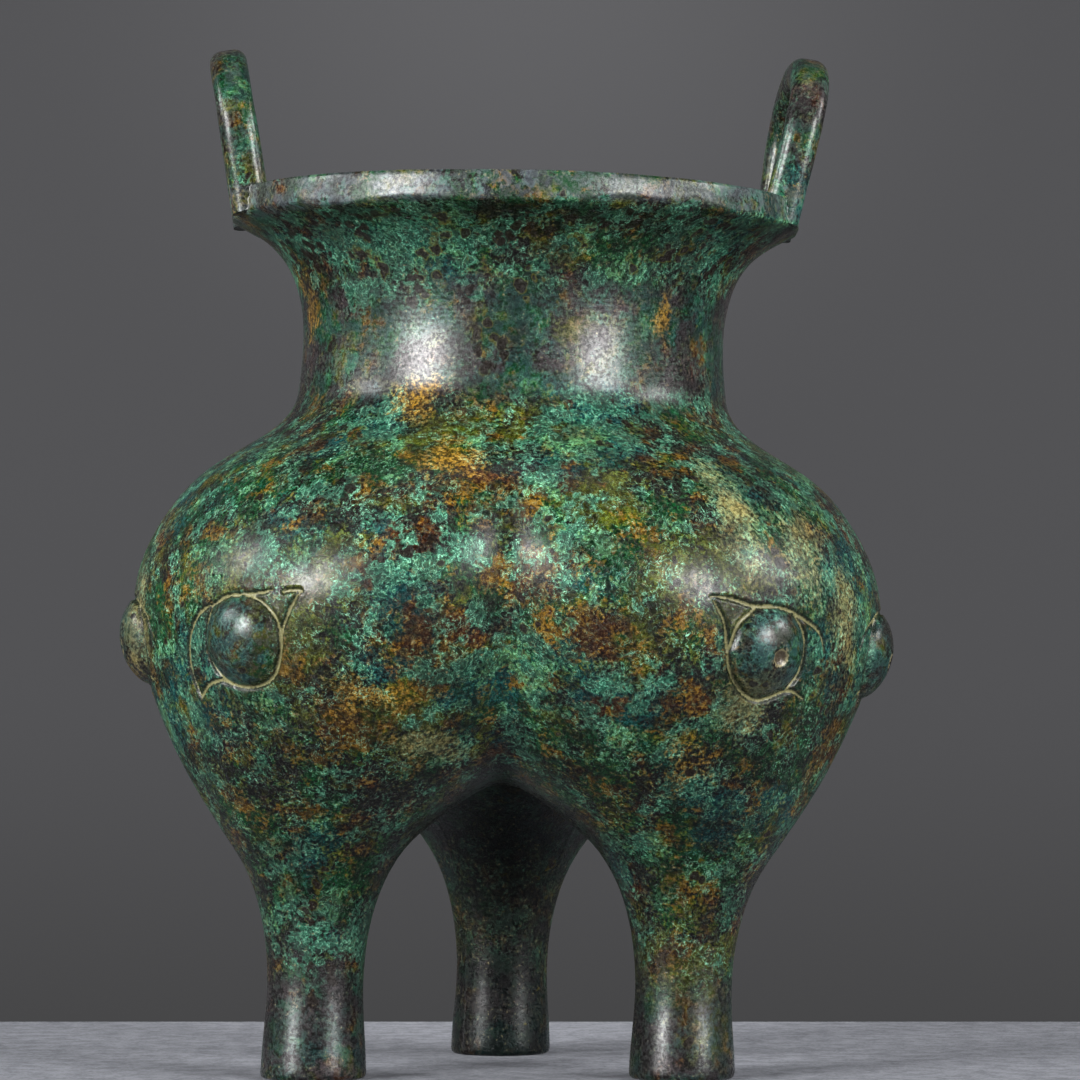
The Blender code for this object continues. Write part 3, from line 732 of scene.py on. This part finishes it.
# The graver's strokes, sunk with a slight burr beside them and thinner at their ends.
place = position()
lines = shape_of("Eye lines")
waver = gn.vector("SUBTRACT", gn.noise(place, 6.0 * MM, output="Color"), (0.5, 0.5, 0.5))
waver = gn.vector("ADD", place, gn.scaled(waver, 0.5 * MM))
inputs = {"Geometry": lines, "Sample Position": waver}
nearest = gn.add("GeometryNodeSampleNearest", {"domain": "POINT"}, inputs)
weight = gn.add("GeometryNodeInputNamedAttribute", {"data_type": "FLOAT"}, {"Name": "press"})
settings = {"data_type": "FLOAT", "domain": "POINT"}
inputs = {"Geometry": lines, "Value": weight, "Index": nearest}
press = gn.add("GeometryNodeSampleIndex", settings, inputs)
half_width = inlet("Line width") * press * (0.36 + 0.28 * gn.noise(place, 3.0 * MM))
near_line = gap_to(lines, "EDGES", waver)
groove = 1.0 - gn.step(near_line, 0.2 * half_width, half_width)
burr = gn.window(near_line, (0.8 * half_width, 1.4 * half_width), (1.4 * half_width, 2.4 * half_width))
in_pupil = 1.0 - gn.step(gap_to(shape_of("Pupils"), "POINTS", waver), 1.0 * MM, 2.1 * MM)
sink = BURR * burr - groove * press * inlet("Line depth") - PUPIL_DEPTH * in_pupil
near_eye = gap_to(shape_of("Eye middles"), "POINTS", place)
whole = kept(whole, "groove", groove)
whole = kept(whole, "pupil", in_pupil)
whole = kept(whole, "eye", 1.0 - gn.step(near_eye, 0.86 * EYE_RADIUS, 1.02 * EYE_RADIUS))
whole = kept(whole, "lids", 1.0 - gn.step(near_eye, 1.1 * EYE_RADIUS, 1.7 * EYE_RADIUS))
whole = swollen(whole, sink)

# Hand work leaves the walls a little uneven and the rim's band a little wavy, and it is lower
# at one place.
place = position()
broad = gn.noise(place, 26.0 * MM, 1.0) - 0.5
close = gn.noise(place, 6.0 * MM, 1.0) - 0.5
whole = swollen(whole, inlet("Unevenness") * (1.6 * broad + 0.4 * close))
at_band = gn.window(
    gn.component(place, "Z"),
    (band_foot - 6.0 * MM, band_foot),
    (band_foot + 1.0 * MM, RIM_LEVEL - 0.5 * MM),
)
wave = gn.noise(place, 13.0 * MM, 1.0) - 0.5
dip_aim = (math.cos(DIP_ANGLE), math.sin(DIP_ANGLE), 0.0)
ahead = gn.vector("DOT_PRODUCT", place, dip_aim, output="Value")
dip = gn.step(ahead, RIM_RADIUS * math.cos(0.3), RIM_RADIUS * math.cos(0.06))
whole = lifted(whole, at_band * (RIM_WAVE * wave + RIM_DIP * dip))

# The feet are ground flat for the lean that the vessel has.
place = position()
in_leg = 1.0 - gn.step(gn.component(place, "Z"), 0.5 * MM, 14.0 * MM)
whole = lifted(whole, gn.component(place, "X") * math.tan(LEAN) * in_leg)
leaning = {"Geometry": whole, "Rotation": (0.0, LEAN, 0.0)}
whole = gn.add("GeometryNodeTransform", {}, leaning)
whole = gn.add("GeometryNodeRealizeInstances", {}, {"Geometry": whole})
inputs = {"Geometry": whole, "Material": inlet("Finish")}
whole = gn.add("GeometryNodeSetMaterial", {}, inputs)
result = tree.nodes.new("NodeGroupOutput")
tree.links.new(whole.socket, result.inputs["Vessel"])

# The patina
# Waxed corrosion in soft clouds of blue-green, green and olive, broken by small turquoise flakes
# and a fine dark network, with ochre and rust stains where it lay in the ground, brown pits under
# the rim, and smooth dark metal on the eyes, the feet and the rim's band.


def paint(red, green, blue):
    """A colour given as it looks on screen, as light."""
    screen = (red / 255, green / 255, blue / 255)
    light = [c / 12.92 if c <= 0.04045 else ((c + 0.055) / 1.055) ** 2.4 for c in screen]
    return (*light, 1.0)


def finish(name):
    material = bpy.data.materials.new(name)
    material.use_nodes = True
    material.node_tree.nodes.clear()
    return material


def mixed(share, first, second):
    """The first colour where the share is nought and the second where it is one."""
    nodes = share.nodes
    inputs = {"Factor": share, 6: first, 7: second}
    return nodes.add("ShaderNodeMix", {"data_type": "RGBA"}, inputs, 2)


def millimetres(nodes):
    return nodes.scaled(nodes.add("ShaderNodeTexCoord", {}, {}, "Object"), 1000.0)


def dress(nodes, inputs):
    surface = nodes.add("ShaderNodeBsdfPrincipled", {}, inputs, "BSDF")
    out = nodes.tree.nodes.new("ShaderNodeOutputMaterial")
    nodes.tree.links.new(surface.socket, out.inputs["Surface"])


patina = finish("patinated_bronze")
sh = Nodes(patina.node_tree)
place = millimetres(sh)
level = sh.component(place, "Z")
stir = sh.vector("SUBTRACT", sh.noise(place, 3.2, 2.0, 0.65, "Color"), (0.5, 0.5, 0.5))
stirred = sh.vector("ADD", place, sh.scaled(stir, 3.4))


def cloud(apart, size, detail, rough):
    """Noise with curling edges, each kind taken from its own place."""
    return sh.noise(sh.vector("ADD", stirred, (apart, -2.0 * apart, 0.5 * apart)), size, detail, rough)


def mark(name):
    """How much of something a point of the mesh has."""
    return sh.add("ShaderNodeAttribute", {"attribute_name": name}, {}, "Fac")


def cell_gap(size):
    """The distance to the middle of the nearest of scattered cells."""
    inputs = {"Vector": stirred, "Scale": 1.0 / size}
    return sh.add("ShaderNodeTexVoronoi", {"feature": "F1"}, inputs, "Distance")


def most(*shares):
    greatest = shares[0]
    for share in shares[1:]:
        greatest = sh.maths("MAXIMUM", greatest, share)
    return greatest


zone = cloud(31.0, 26.0, 2.0, 0.5)
hue = cloud(67.0, 13.0, 3.0, 0.6)
crust = cloud(0.0, 6.0, 5.0, 0.66)
lace = cloud(113.0, 2.6, 4.0, 0.66)
earth = cloud(171.0, 9.0, 4.0, 0.66)
russet = cloud(229.0, 7.0, 3.0, 0.62)
gloom = cloud(307.0, 8.0, 2.0, 0.6)
curl = sh.noise(stirred, 1.3, 3.0, 0.6)
grain = sh.noise(place, 0.75, 4.0, 0.7)
speck = grain - 0.5


def patches(cover, ragged, low, high):
    """Where a cover is dense, its edges made ragged by the grain."""
    return sh.step(cover + ragged * speck, low, high)


# Where the metal is bare and dark: the eyes, the feet, the waist of the neck and the handles.
ankle, arch, belly, shoulder, neck, band, rim = (
    height / MM
    for height in (ANKLE_LEVEL, ARCH_LEVEL, BELLY_LEVEL, SHOULDER_LEVEL, NECK_LEVEL, band_foot, RIM_LEVEL)
)
spread = LEG_SPREAD / MM
eye, groove, lids, pupil = mark("eye"), mark("groove"), mark("lids"), mark("pupil")
at_band = sh.window(level, (band - 0.7, band + 0.5), (rim + 0.8, rim + 1.8))
under_rim = sh.window(level, (neck + 1.0, neck + 15.0), (band - 1.3, band - 0.3))
at_foot = 1.0 - sh.step(level + 26.0 * (hue - 0.5), ankle - 3.0, ankle + 9.0)
over_shoulder = sh.step(level + 20.0 * (hue - 0.5), shoulder + 8.0, shoulder + 16.0)
at_neck = over_shoulder * (1.0 - sh.step(level + 16.0 * (crust - 0.5), neck + 6.0, neck + 12.0))
at_handle = sh.step(level, rim + 1.4, rim + 4.4)
bare = most(0.55 * eye, 0.85 * at_foot, 0.7 * at_neck, 0.6 * at_handle)
smooth = most(bare, at_band)

# Soft clouds of ground colour, each broken at its edges by the grain.
UMBER, MOSS, SEA, OLIVE = paint(24, 21, 18), paint(20, 60, 32), paint(4, 68, 68), paint(70, 74, 14)
RUST_BROWN, GOLDEN_BROWN = paint(66, 32, 8), paint(106, 74, 16)
ground = mixed(patches(hue, 0.7, 0.44, 0.55), UMBER, MOSS)
ground = mixed(0.85 * patches(zone + 0.10 * mark("teal"), 0.7, 0.52, 0.62), ground, SEA)
olive, rust = mark("olive"), mark("rust")
ground = mixed(0.85 * patches(earth + 0.20 * olive, 0.7, 0.52, 0.62), ground, OLIVE)
warm_tone = patches(hue + 0.12 * (crust - 0.5), 1.2, 0.44, 0.56)
warm_tone = mixed(warm_tone, RUST_BROWN, GOLDEN_BROWN)
ground = mixed(0.85 * patches(russet + 0.20 * rust, 0.7, 0.54, 0.64), ground, warm_tone)
ground = sh.add("ShaderNodeHueSaturation", {}, {"Saturation": 1.2, "Color": ground})

# Turquoise rosettes that grew over them, and a fine dark network through all.
JADE, TURQUOISE, LEAF = paint(26, 84, 62), paint(72, 138, 112), paint(84, 132, 72)
PITCH = paint(10, 12, 5)
dark = mark("dark")
growth = crust + 0.07 * under_rim + 0.30 * (zone - 0.5) + 0.10 * mark("turquoise")
growth = growth - 0.16 * (cell_gap(4.6) - 0.4) - 0.05 * (bare + dark) - 0.06 * (olive + rust)
flake = patches(growth, 0.45, 0.505, 0.575)
flake_tone = mixed(patches(lace, 0.5, 0.42, 0.60), JADE, TURQUOISE)
flake_tone = mixed(0.6 * patches(hue, 0.4, 0.54, 0.64), flake_tone, LEAF)
colour = mixed(0.85 * flake, ground, flake_tone)
network = patches(lace + 0.04 * dark, 0.9, 0.53, 0.60)
colour = mixed(0.8 * network, colour, PITCH)

# The bare metal: plum or blued on the body, brown or blue on the eyes, and grey on the rim's band.
PLUM_METAL, BLUED_METAL = paint(54, 44, 48), paint(18, 52, 50)
EYE_BROWN, EYE_BLUE = paint(38, 30, 18), paint(10, 66, 68)
BAND_GREEN, BAND_GREY = paint(58, 70, 62), paint(80, 86, 94)
metal_tone = mixed(patches(hue, 0.6, 0.42, 0.58), PLUM_METAL, BLUED_METAL)
colour = mixed(bare * patches(lace, 0.9, 0.38, 0.56), colour, metal_tone)
eye_tone = mixed(patches(crust, 0.5, 0.44, 0.56), EYE_BROWN, EYE_BLUE)
colour = mixed(0.7 * eye * patches(lace, 0.9, 0.36, 0.5), colour, eye_tone)
band_tone = mixed(sh.step(crust, 0.4, 0.6), BAND_GREEN, BAND_GREY)
colour = mixed(0.6 * at_band * patches(lace, 0.5, 0.34, 0.56), colour, band_tone)

# Earth and chalk that stayed on it; on the right side of the right-front pouch the chalk is also a
# painted highlight.
DARK_EARTH, LIGHT_EARTH = paint(86, 58, 8), paint(142, 106, 22)
YELLOW_CHALK_AND_HIGHLIGHT, GREEN_CHALK_AND_HIGHLIGHT = paint(132, 122, 76), paint(112, 118, 80)
ochre, cream = mark("ochre"), mark("cream")
soil = mixed(sh.step(grain + 0.3 * (hue - 0.5), 0.40, 0.62), DARK_EARTH, LIGHT_EARTH)
cover = patches(ochre + 3.6 * (earth - 0.5), 1.8, 0.40, 1.0)
colour = mixed(cover * (0.3 + 0.55 * sh.step(ochre, 0.05, 0.35)), colour, soil)
chalk_and_highlight_tone = mixed(sh.step(lace, 0.42, 0.6), YELLOW_CHALK_AND_HIGHLIGHT, GREEN_CHALK_AND_HIGHLIGHT)
cover = patches(cream + 2.6 * (earth - 0.5), 2.2, 0.20, 1.15)
colour = mixed(0.75 * cover * sh.step(cream, 0.05, 0.4), colour, chalk_and_highlight_tone)

# Curling threads of light crust with dark hollows between them, and deeper shade below the
# belly, under the rim and in the vault between the legs.
THREAD = paint(110, 164, 136)
from_curl = abs(curl - 0.5)
thread = 1.0 - sh.step(from_curl, 0.004, 0.020)
hollow = sh.step(from_curl, 0.05, 0.11)
rough_thread = thread * (1.0 - smooth)
colour = mixed(rough_thread * (0.08 + 0.7 * sh.step(crust, 0.44, 0.56)), colour, THREAD)
from_axis = sh.vector("LENGTH", sh.vector("MULTIPLY", place, (1.0, 1.0, 0.0)), output="Value")
in_vault = 1.0 - sh.step(level, arch - 6.5, arch + 15.5)
in_vault = in_vault * (1.0 - sh.step(from_axis, spread - 8.0, spread + 4.0))
shade = (1.0 + 0.6 * rough_thread) * (1.0 - 0.5 * hollow * (1.0 - 0.6 * smooth))
shade = shade * (0.55 + 0.35 * smooth + (1.0 - 0.6 * smooth) * sh.step(grain, 0.40, 0.60))
shade = shade * (0.62 + 0.5 * patches(gloom, 0.4, 0.40, 0.60))
shade = shade * (0.56 + 0.44 * sh.step(level, arch - 0.5, belly + 2.0))
shade = shade * (1.0 - 0.36 * under_rim) * (1.0 - 0.75 * in_vault)
colour = sh.scaled(colour, shade)

# Pits with an olive fringe, thickest under the rim.
FRINGE, PIT = paint(84, 76, 18), paint(18, 9, 4)
pitted = sh.step(sh.noise(place, 8.0, 2.0) + 0.14 * under_rim + 0.12 * dark, 0.54, 0.74)
pit_gap = cell_gap(3.0) - (0.02 + 0.40 * pitted)
pit = 1.0 - sh.step(pit_gap, -0.02, 0.03)
fringe = (1.0 - sh.step(pit_gap, 0.05, 0.13)) * (1.0 - pit)
colour = mixed(0.5 * fringe * sh.step(hue, 0.44, 0.58), colour, FRINGE)
colour = mixed(0.95 * pit, colour, PIT)

# Pale dust in the graver's lines and the pupils, and duller metal on the lids.
LID, LINE_EDGE, LINE_DUST = paint(26, 38, 28), paint(18, 26, 12), paint(138, 134, 92)
PUPIL_DUST, PUPIL_METAL = paint(142, 132, 98), paint(60, 50, 40)
colour = mixed(0.3 * lids * sh.step(grain, 0.4, 0.6), colour, LID)
colour = mixed(0.8 * patches(groove, 0.3, 0.02, 0.2), colour, LINE_EDGE)
colour = mixed(0.8 * patches(groove, 1.2, 0.55, 0.98), colour, LINE_DUST)
colour = mixed(0.8 * patches(pupil, 1.2, 0.12, 0.3), colour, PUPIL_DUST)
colour = mixed(0.9 * patches(pupil, 0.6, 0.42, 0.7), colour, PUPIL_METAL)

# The crust's relief, a scraper's ripples round the neck, and the mould's seams down the flanks
# and the outside of each leg. Heights are in millimetres.
FLANK_SEAM = spread / 2 + 3.0
OUTER_SEAM = 0.6
height = 0.08 * grain + 0.06 * lace + 0.05 * thread - 0.03 * hollow - 0.03 * network
ripple = sh.maths("SINE", 6.2 * level + 12.0 * sh.noise(place, 5.0, 2.0))
on_neck = sh.window(level, (shoulder + 6.0, shoulder + 14.0), (neck + 6.0, neck + 13.0))
height = height + 0.012 * ripple * on_neck
seam = 0.0
for number in range(3):
    aim = 2.0 * HALF_SECTOR * number - math.pi / 2
    ahead = sh.vector("DOT_PRODUCT", place, (math.cos(aim), math.sin(aim), 0.0), output="Value")
    aside = sh.vector("DOT_PRODUCT", place, (-math.sin(aim), math.cos(aim), 0.0), output="Value")
    on_outside = 1.0 - sh.step(ahead, 5.0 - spread, 11.0 - spread)
    outer_seam = on_outside * (1.0 - sh.step(abs(aside - OUTER_SEAM), 0.1, 0.7))
    seam = seam + (1.0 - sh.step(abs(ahead - FLANK_SEAM), 0.15, 0.75)) + outer_seam
height = height + 0.12 * seam * (1.0 - sh.step(level, arch + 3.5, arch + 11.5))
relief = {"Strength": 1.0, "Distance": MM, "Height": height}

# The wax lies thicker on the bare metal and thin in the network, the vault and the legs.
wax = 0.50 * (0.5 + 0.5 * sh.step(level, arch - 0.5, belly - 4.0)) * (1.0 - bare) + 0.85 * bare
wax = wax * (1.0 - 0.6 * network * (1.0 - smooth)) * (1.0 - 0.7 * in_vault)
dress(sh, {
    "Base Color": colour,
    "Roughness": 0.27 + 0.07 * flake + 0.04 * network + 0.3 * speck,
    "Metallic": 0.35 * bare + 0.15 * network,
    "Normal": sh.add("ShaderNodeBump", {}, relief, "Normal"),
    "IOR": 1.3,
    "Coat Weight": wax * (0.35 + 0.75 * sh.step(grain, 0.40, 0.60)),
    "Coat Roughness": 0.28,
    "Coat IOR": 1.5,
})

# The finished casting is turned into a plain mesh, standing where the solid stands.
modifier = half.modifiers.new("cast_vessel", "NODES")
modifier.node_group = tree
settings = {
    "Eye lines": eye_lines,
    "Eye middles": eye_middles,
    "Pupils": pupil_points,
    "Handle paths": handle_paths,
    "Line depth": LINE_DEPTH,
    "Line width": LINE_WIDTH,
    "Unevenness": UNEVENNESS,
    "Finish": patina,
}
for item in tree.interface.items_tree:
    if item.in_out == "INPUT" and item.name in settings:
        modifier[item.identifier] = settings[item.name]
bpy.context.view_layer.update()
depsgraph = bpy.context.evaluated_depsgraph_get()
mesh = bpy.data.meshes.new_from_object(half.evaluated_get(depsgraph))
for obj in (half, eye_lines, eye_middles, pupil_points, handle_paths):
    bpy.data.objects.remove(obj)
bm = bmesh.new()
bm.from_mesh(mesh)
bmesh.ops.remove_doubles(bm, verts=bm.verts, dist=WELD)
bmesh.ops.recalc_face_normals(bm, faces=bm.faces)
low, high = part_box("tripod_vessel")
points = np.array([vertex.co for vertex in bm.verts])
shift = (np.array(low) + np.array(high) - points.min(axis=0) - points.max(axis=0)) / 2
shift[2] = -points[:, 2].min()
bmesh.ops.translate(bm, verts=bm.verts, vec=Vector(shift))
for face in bm.faces:
    face.smooth = True
bm.to_mesh(mesh)
bm.free()
mesh.name = "bronze_vessel"
vessel = bpy.data.objects.new("bronze_vessel", mesh)
bpy.context.scene.collection.objects.link(vessel)

# Stains where earth lay against the wall, and two cream marks on the right-front pouch that are also a
# painted highlight: the angle round the vessel from the right-hand side in degrees, then the level, the
# breadth and the height of each in millimetres.
STAINS = {
    "ochre": (
        (-155, 147, 5, 9), (-110.5, 129, 6, 5), (-98, 118, 8, 4), (-49, 145, 2.5, 5),
        (-160, 172, 4, 5), (-112, 74, 8, 5), (-58, 60, 5, 5), (-165, 78, 5, 5),
        (60, 120, 14, 9), (130, 92, 12, 14), (20, 148, 5, 10),
    ),
    "rust": (
        (-93, 110.5, 8, 4.5), (-103.5, 85, 8, 7), (-79, 85, 9, 8), (-71.7, 73, 6, 5),
        (-116, 69.5, 7, 7), (-88, 95, 8, 6), (-36, 137, 4, 6), (-29, 62, 5, 7),
        (80, 84, 12, 9), (160, 110, 9, 9),
    ),
    "olive": (
        (-110.5, 71.5, 12, 8), (-120, 88, 12, 12), (-62, 96, 12, 10), (-41.4, 20, 8, 14),
        (-100, 122, 14, 6), (-75, 112, 8, 8), (100, 100, 20, 14),
    ),
    "teal": (
        (-95, 67, 11, 5), (-77, 61.7, 8, 5), (-60, 84, 8, 8), (-78, 170, 6, 4),
        (-72, 140, 7, 7), (-130, 52, 9, 9), (40, 90, 14, 14),
    ),
    # The first two cream marks, on the right-front pouch, are also a painted highlight.
    "cream": (
        (-52.7, 107, 6, 10), (-40.6, 100, 8, 9), (-160, 92, 7, 13), (-105, 64, 6, 3.5),
        (-52, 72, 6, 6), (-33, 88, 6, 12), (170, 84, 8, 14),
    ),
    "dark": (
        (-117, 105, 7, 5), (-41, 66, 9, 8), (-77, 62, 7, 6), (-44, 55, 10, 10),
        (-95, 140, 8, 7), (90, 60, 12, 20), (-125, 118, 10, 4),
    ),
    "turquoise": (
        (-141, 31, 7, 13), (-98, 100, 14, 9), (-80, 112, 12, 10), (-88, 80, 12, 5),
        (-115, 160, 16, 5), (-75, 122, 16, 5), (-128, 96, 8, 9), (-50, 112, 9, 6),
        (-72, 72, 8, 8), (120, 112, 18, 10),
    ),
}
points = np.array([vertex.co for vertex in mesh.vertices])
for name, places in STAINS.items():
    amount = np.zeros(len(points))
    for angle, level, breadth, tall in places:
        angle = math.radians(angle)
        ahead = points[:, 0] * math.cos(angle) + points[:, 1] * math.sin(angle)
        aside = points[:, 1] * math.cos(angle) - points[:, 0] * math.sin(angle)
        off = (aside / (breadth * MM)) ** 2 + ((points[:, 2] - level * MM) / (tall * MM)) ** 2
        amount = np.maximum(amount, np.exp(-off) * (ahead > 0))
    values = mesh.attributes.new(name, "FLOAT", "POINT")
    values.data.foreach_set("value", amount.astype(np.float32))

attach(vessel, "root")
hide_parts("tripod_vessel")

# The table and the wall behind it
# Pale grey felt that ends a little way behind the vessel, and a plain grey wall further back, with a
# painted pool of light on it and painted shade making it darker towards the bottom. Neither is part of
# the object.

TABLE_BACK = 0.125
WALL_BACK = 1.2


def sheet(name, corners):
    mesh = bpy.data.meshes.new(name)
    mesh.from_pydata(corners, [], [(0, 1, 2, 3)])
    obj = bpy.data.objects.new(name, mesh)
    bpy.context.scene.collection.objects.link(obj)
    material = finish(name)
    mesh.materials.append(material)
    return Nodes(material.node_tree)


felt = sheet("table", [
    (-1.5, -1.5, 0.0),
    (1.5, -1.5, 0.0),
    (1.5, TABLE_BACK, 0.0),
    (-1.5, TABLE_BACK, 0.0),
])
spot = millimetres(felt)
fibre = felt.noise(spot, 0.9, 4.0, 0.7)
tuft = felt.step(0.5 * fibre + 0.5 * felt.noise(spot, 5.0, 3.0, 0.7), 0.40, 0.60)
nap = {"Strength": 0.6, "Distance": MM, "Height": 0.3 * fibre}
dress(felt, {
    "Base Color": mixed(tuft, paint(108, 110, 117), paint(142, 144, 152)),
    "Roughness": 0.95,
    "Normal": felt.add("ShaderNodeBump", {}, nap, "Normal"),
})

wall = sheet("wall", [
    (-3.0, WALL_BACK, -1.5),
    (3.0, WALL_BACK, -1.5),
    (3.0, WALL_BACK, 2.5),
    (-3.0, WALL_BACK, 2.5),
])
spot = millimetres(wall)
# Painted light on the wall: painted shade darker towards the bottom, and a lighter painted pool of light
# above the vessel.
rise = wall.step(wall.component(spot, "Z"), -120.0, 90.0)
wall_with_painted_falloff = mixed(rise, paint(41, 41, 42), paint(53, 53, 55))
away = wall.vector("DISTANCE", spot, (0.0, 1200.0, 420.0), output="Value")
painted_glow = 0.6 * (1.0 - wall.step(away, 0.0, 260.0))
dress(wall, {"Base Color": mixed(painted_glow, wall_with_painted_falloff, paint(73, 73, 75)), "Roughness": 0.95})

# The light
# Two soft boxes in front to either side, two more at the sides, and one high up. All are 3 m
# from the vessel's middle, in a room with a little grey light of its own.

BOX_DISTANCE = 3.0
VESSEL_MIDDLE = Vector((0.0, 0.0, 0.1))


def soft_box(name, azimuth, elevation, size, watts):
    azimuth, elevation = math.radians(azimuth), math.radians(elevation)
    aim = Vector((
        math.sin(azimuth) * math.cos(elevation),
        -math.cos(azimuth) * math.cos(elevation),
        math.sin(elevation),
    ))
    light = bpy.data.lights.new(name, "AREA")
    light.shape = "SQUARE"
    light.size = size
    light.energy = watts
    obj = bpy.data.objects.new(name, light)
    obj.location = VESSEL_MIDDLE + BOX_DISTANCE * aim
    obj.rotation_euler = aim.to_track_quat("Z", "Y").to_euler()
    bpy.context.scene.collection.objects.link(obj)


soft_box("left_front", azimuth=-48.0, elevation=14.0, size=1.1, watts=150.0)
soft_box("right_front", azimuth=48.0, elevation=14.0, size=1.1, watts=112.0)
soft_box("left_side", azimuth=-87.0, elevation=25.0, size=0.75, watts=36.0)
soft_box("right_side", azimuth=87.0, elevation=25.0, size=0.75, watts=36.0)
soft_box("overhead", azimuth=0.0, elevation=85.0, size=1.8, watts=13.0)
world = bpy.data.worlds.new("room")
world.use_nodes = True
world.node_tree.nodes["Background"].inputs["Color"].default_value = (0.045, 0.045, 0.047, 1.0)
world.node_tree.nodes["Background"].inputs["Strength"].default_value = 1.0
bpy.context.scene.world = world
bpy.context.scene.view_settings.view_transform = "Standard"

# The camera
# A 100 mm lens, 0.9 m in front of the vessel and a little above its arch, tipped up a little.

lens = bpy.data.cameras.new("camera")
lens.lens = 100.0
lens.sensor_width = 24.0
lens.sensor_height = 24.0
lens.clip_start = 0.01
camera = bpy.data.objects.new("camera", lens)
camera.location = (0.0065, -0.8951, 0.0733)
camera.rotation_euler = (math.radians(92.0), 0.0, 0.0)
bpy.context.scene.collection.objects.link(camera)
bpy.context.scene.camera = camera
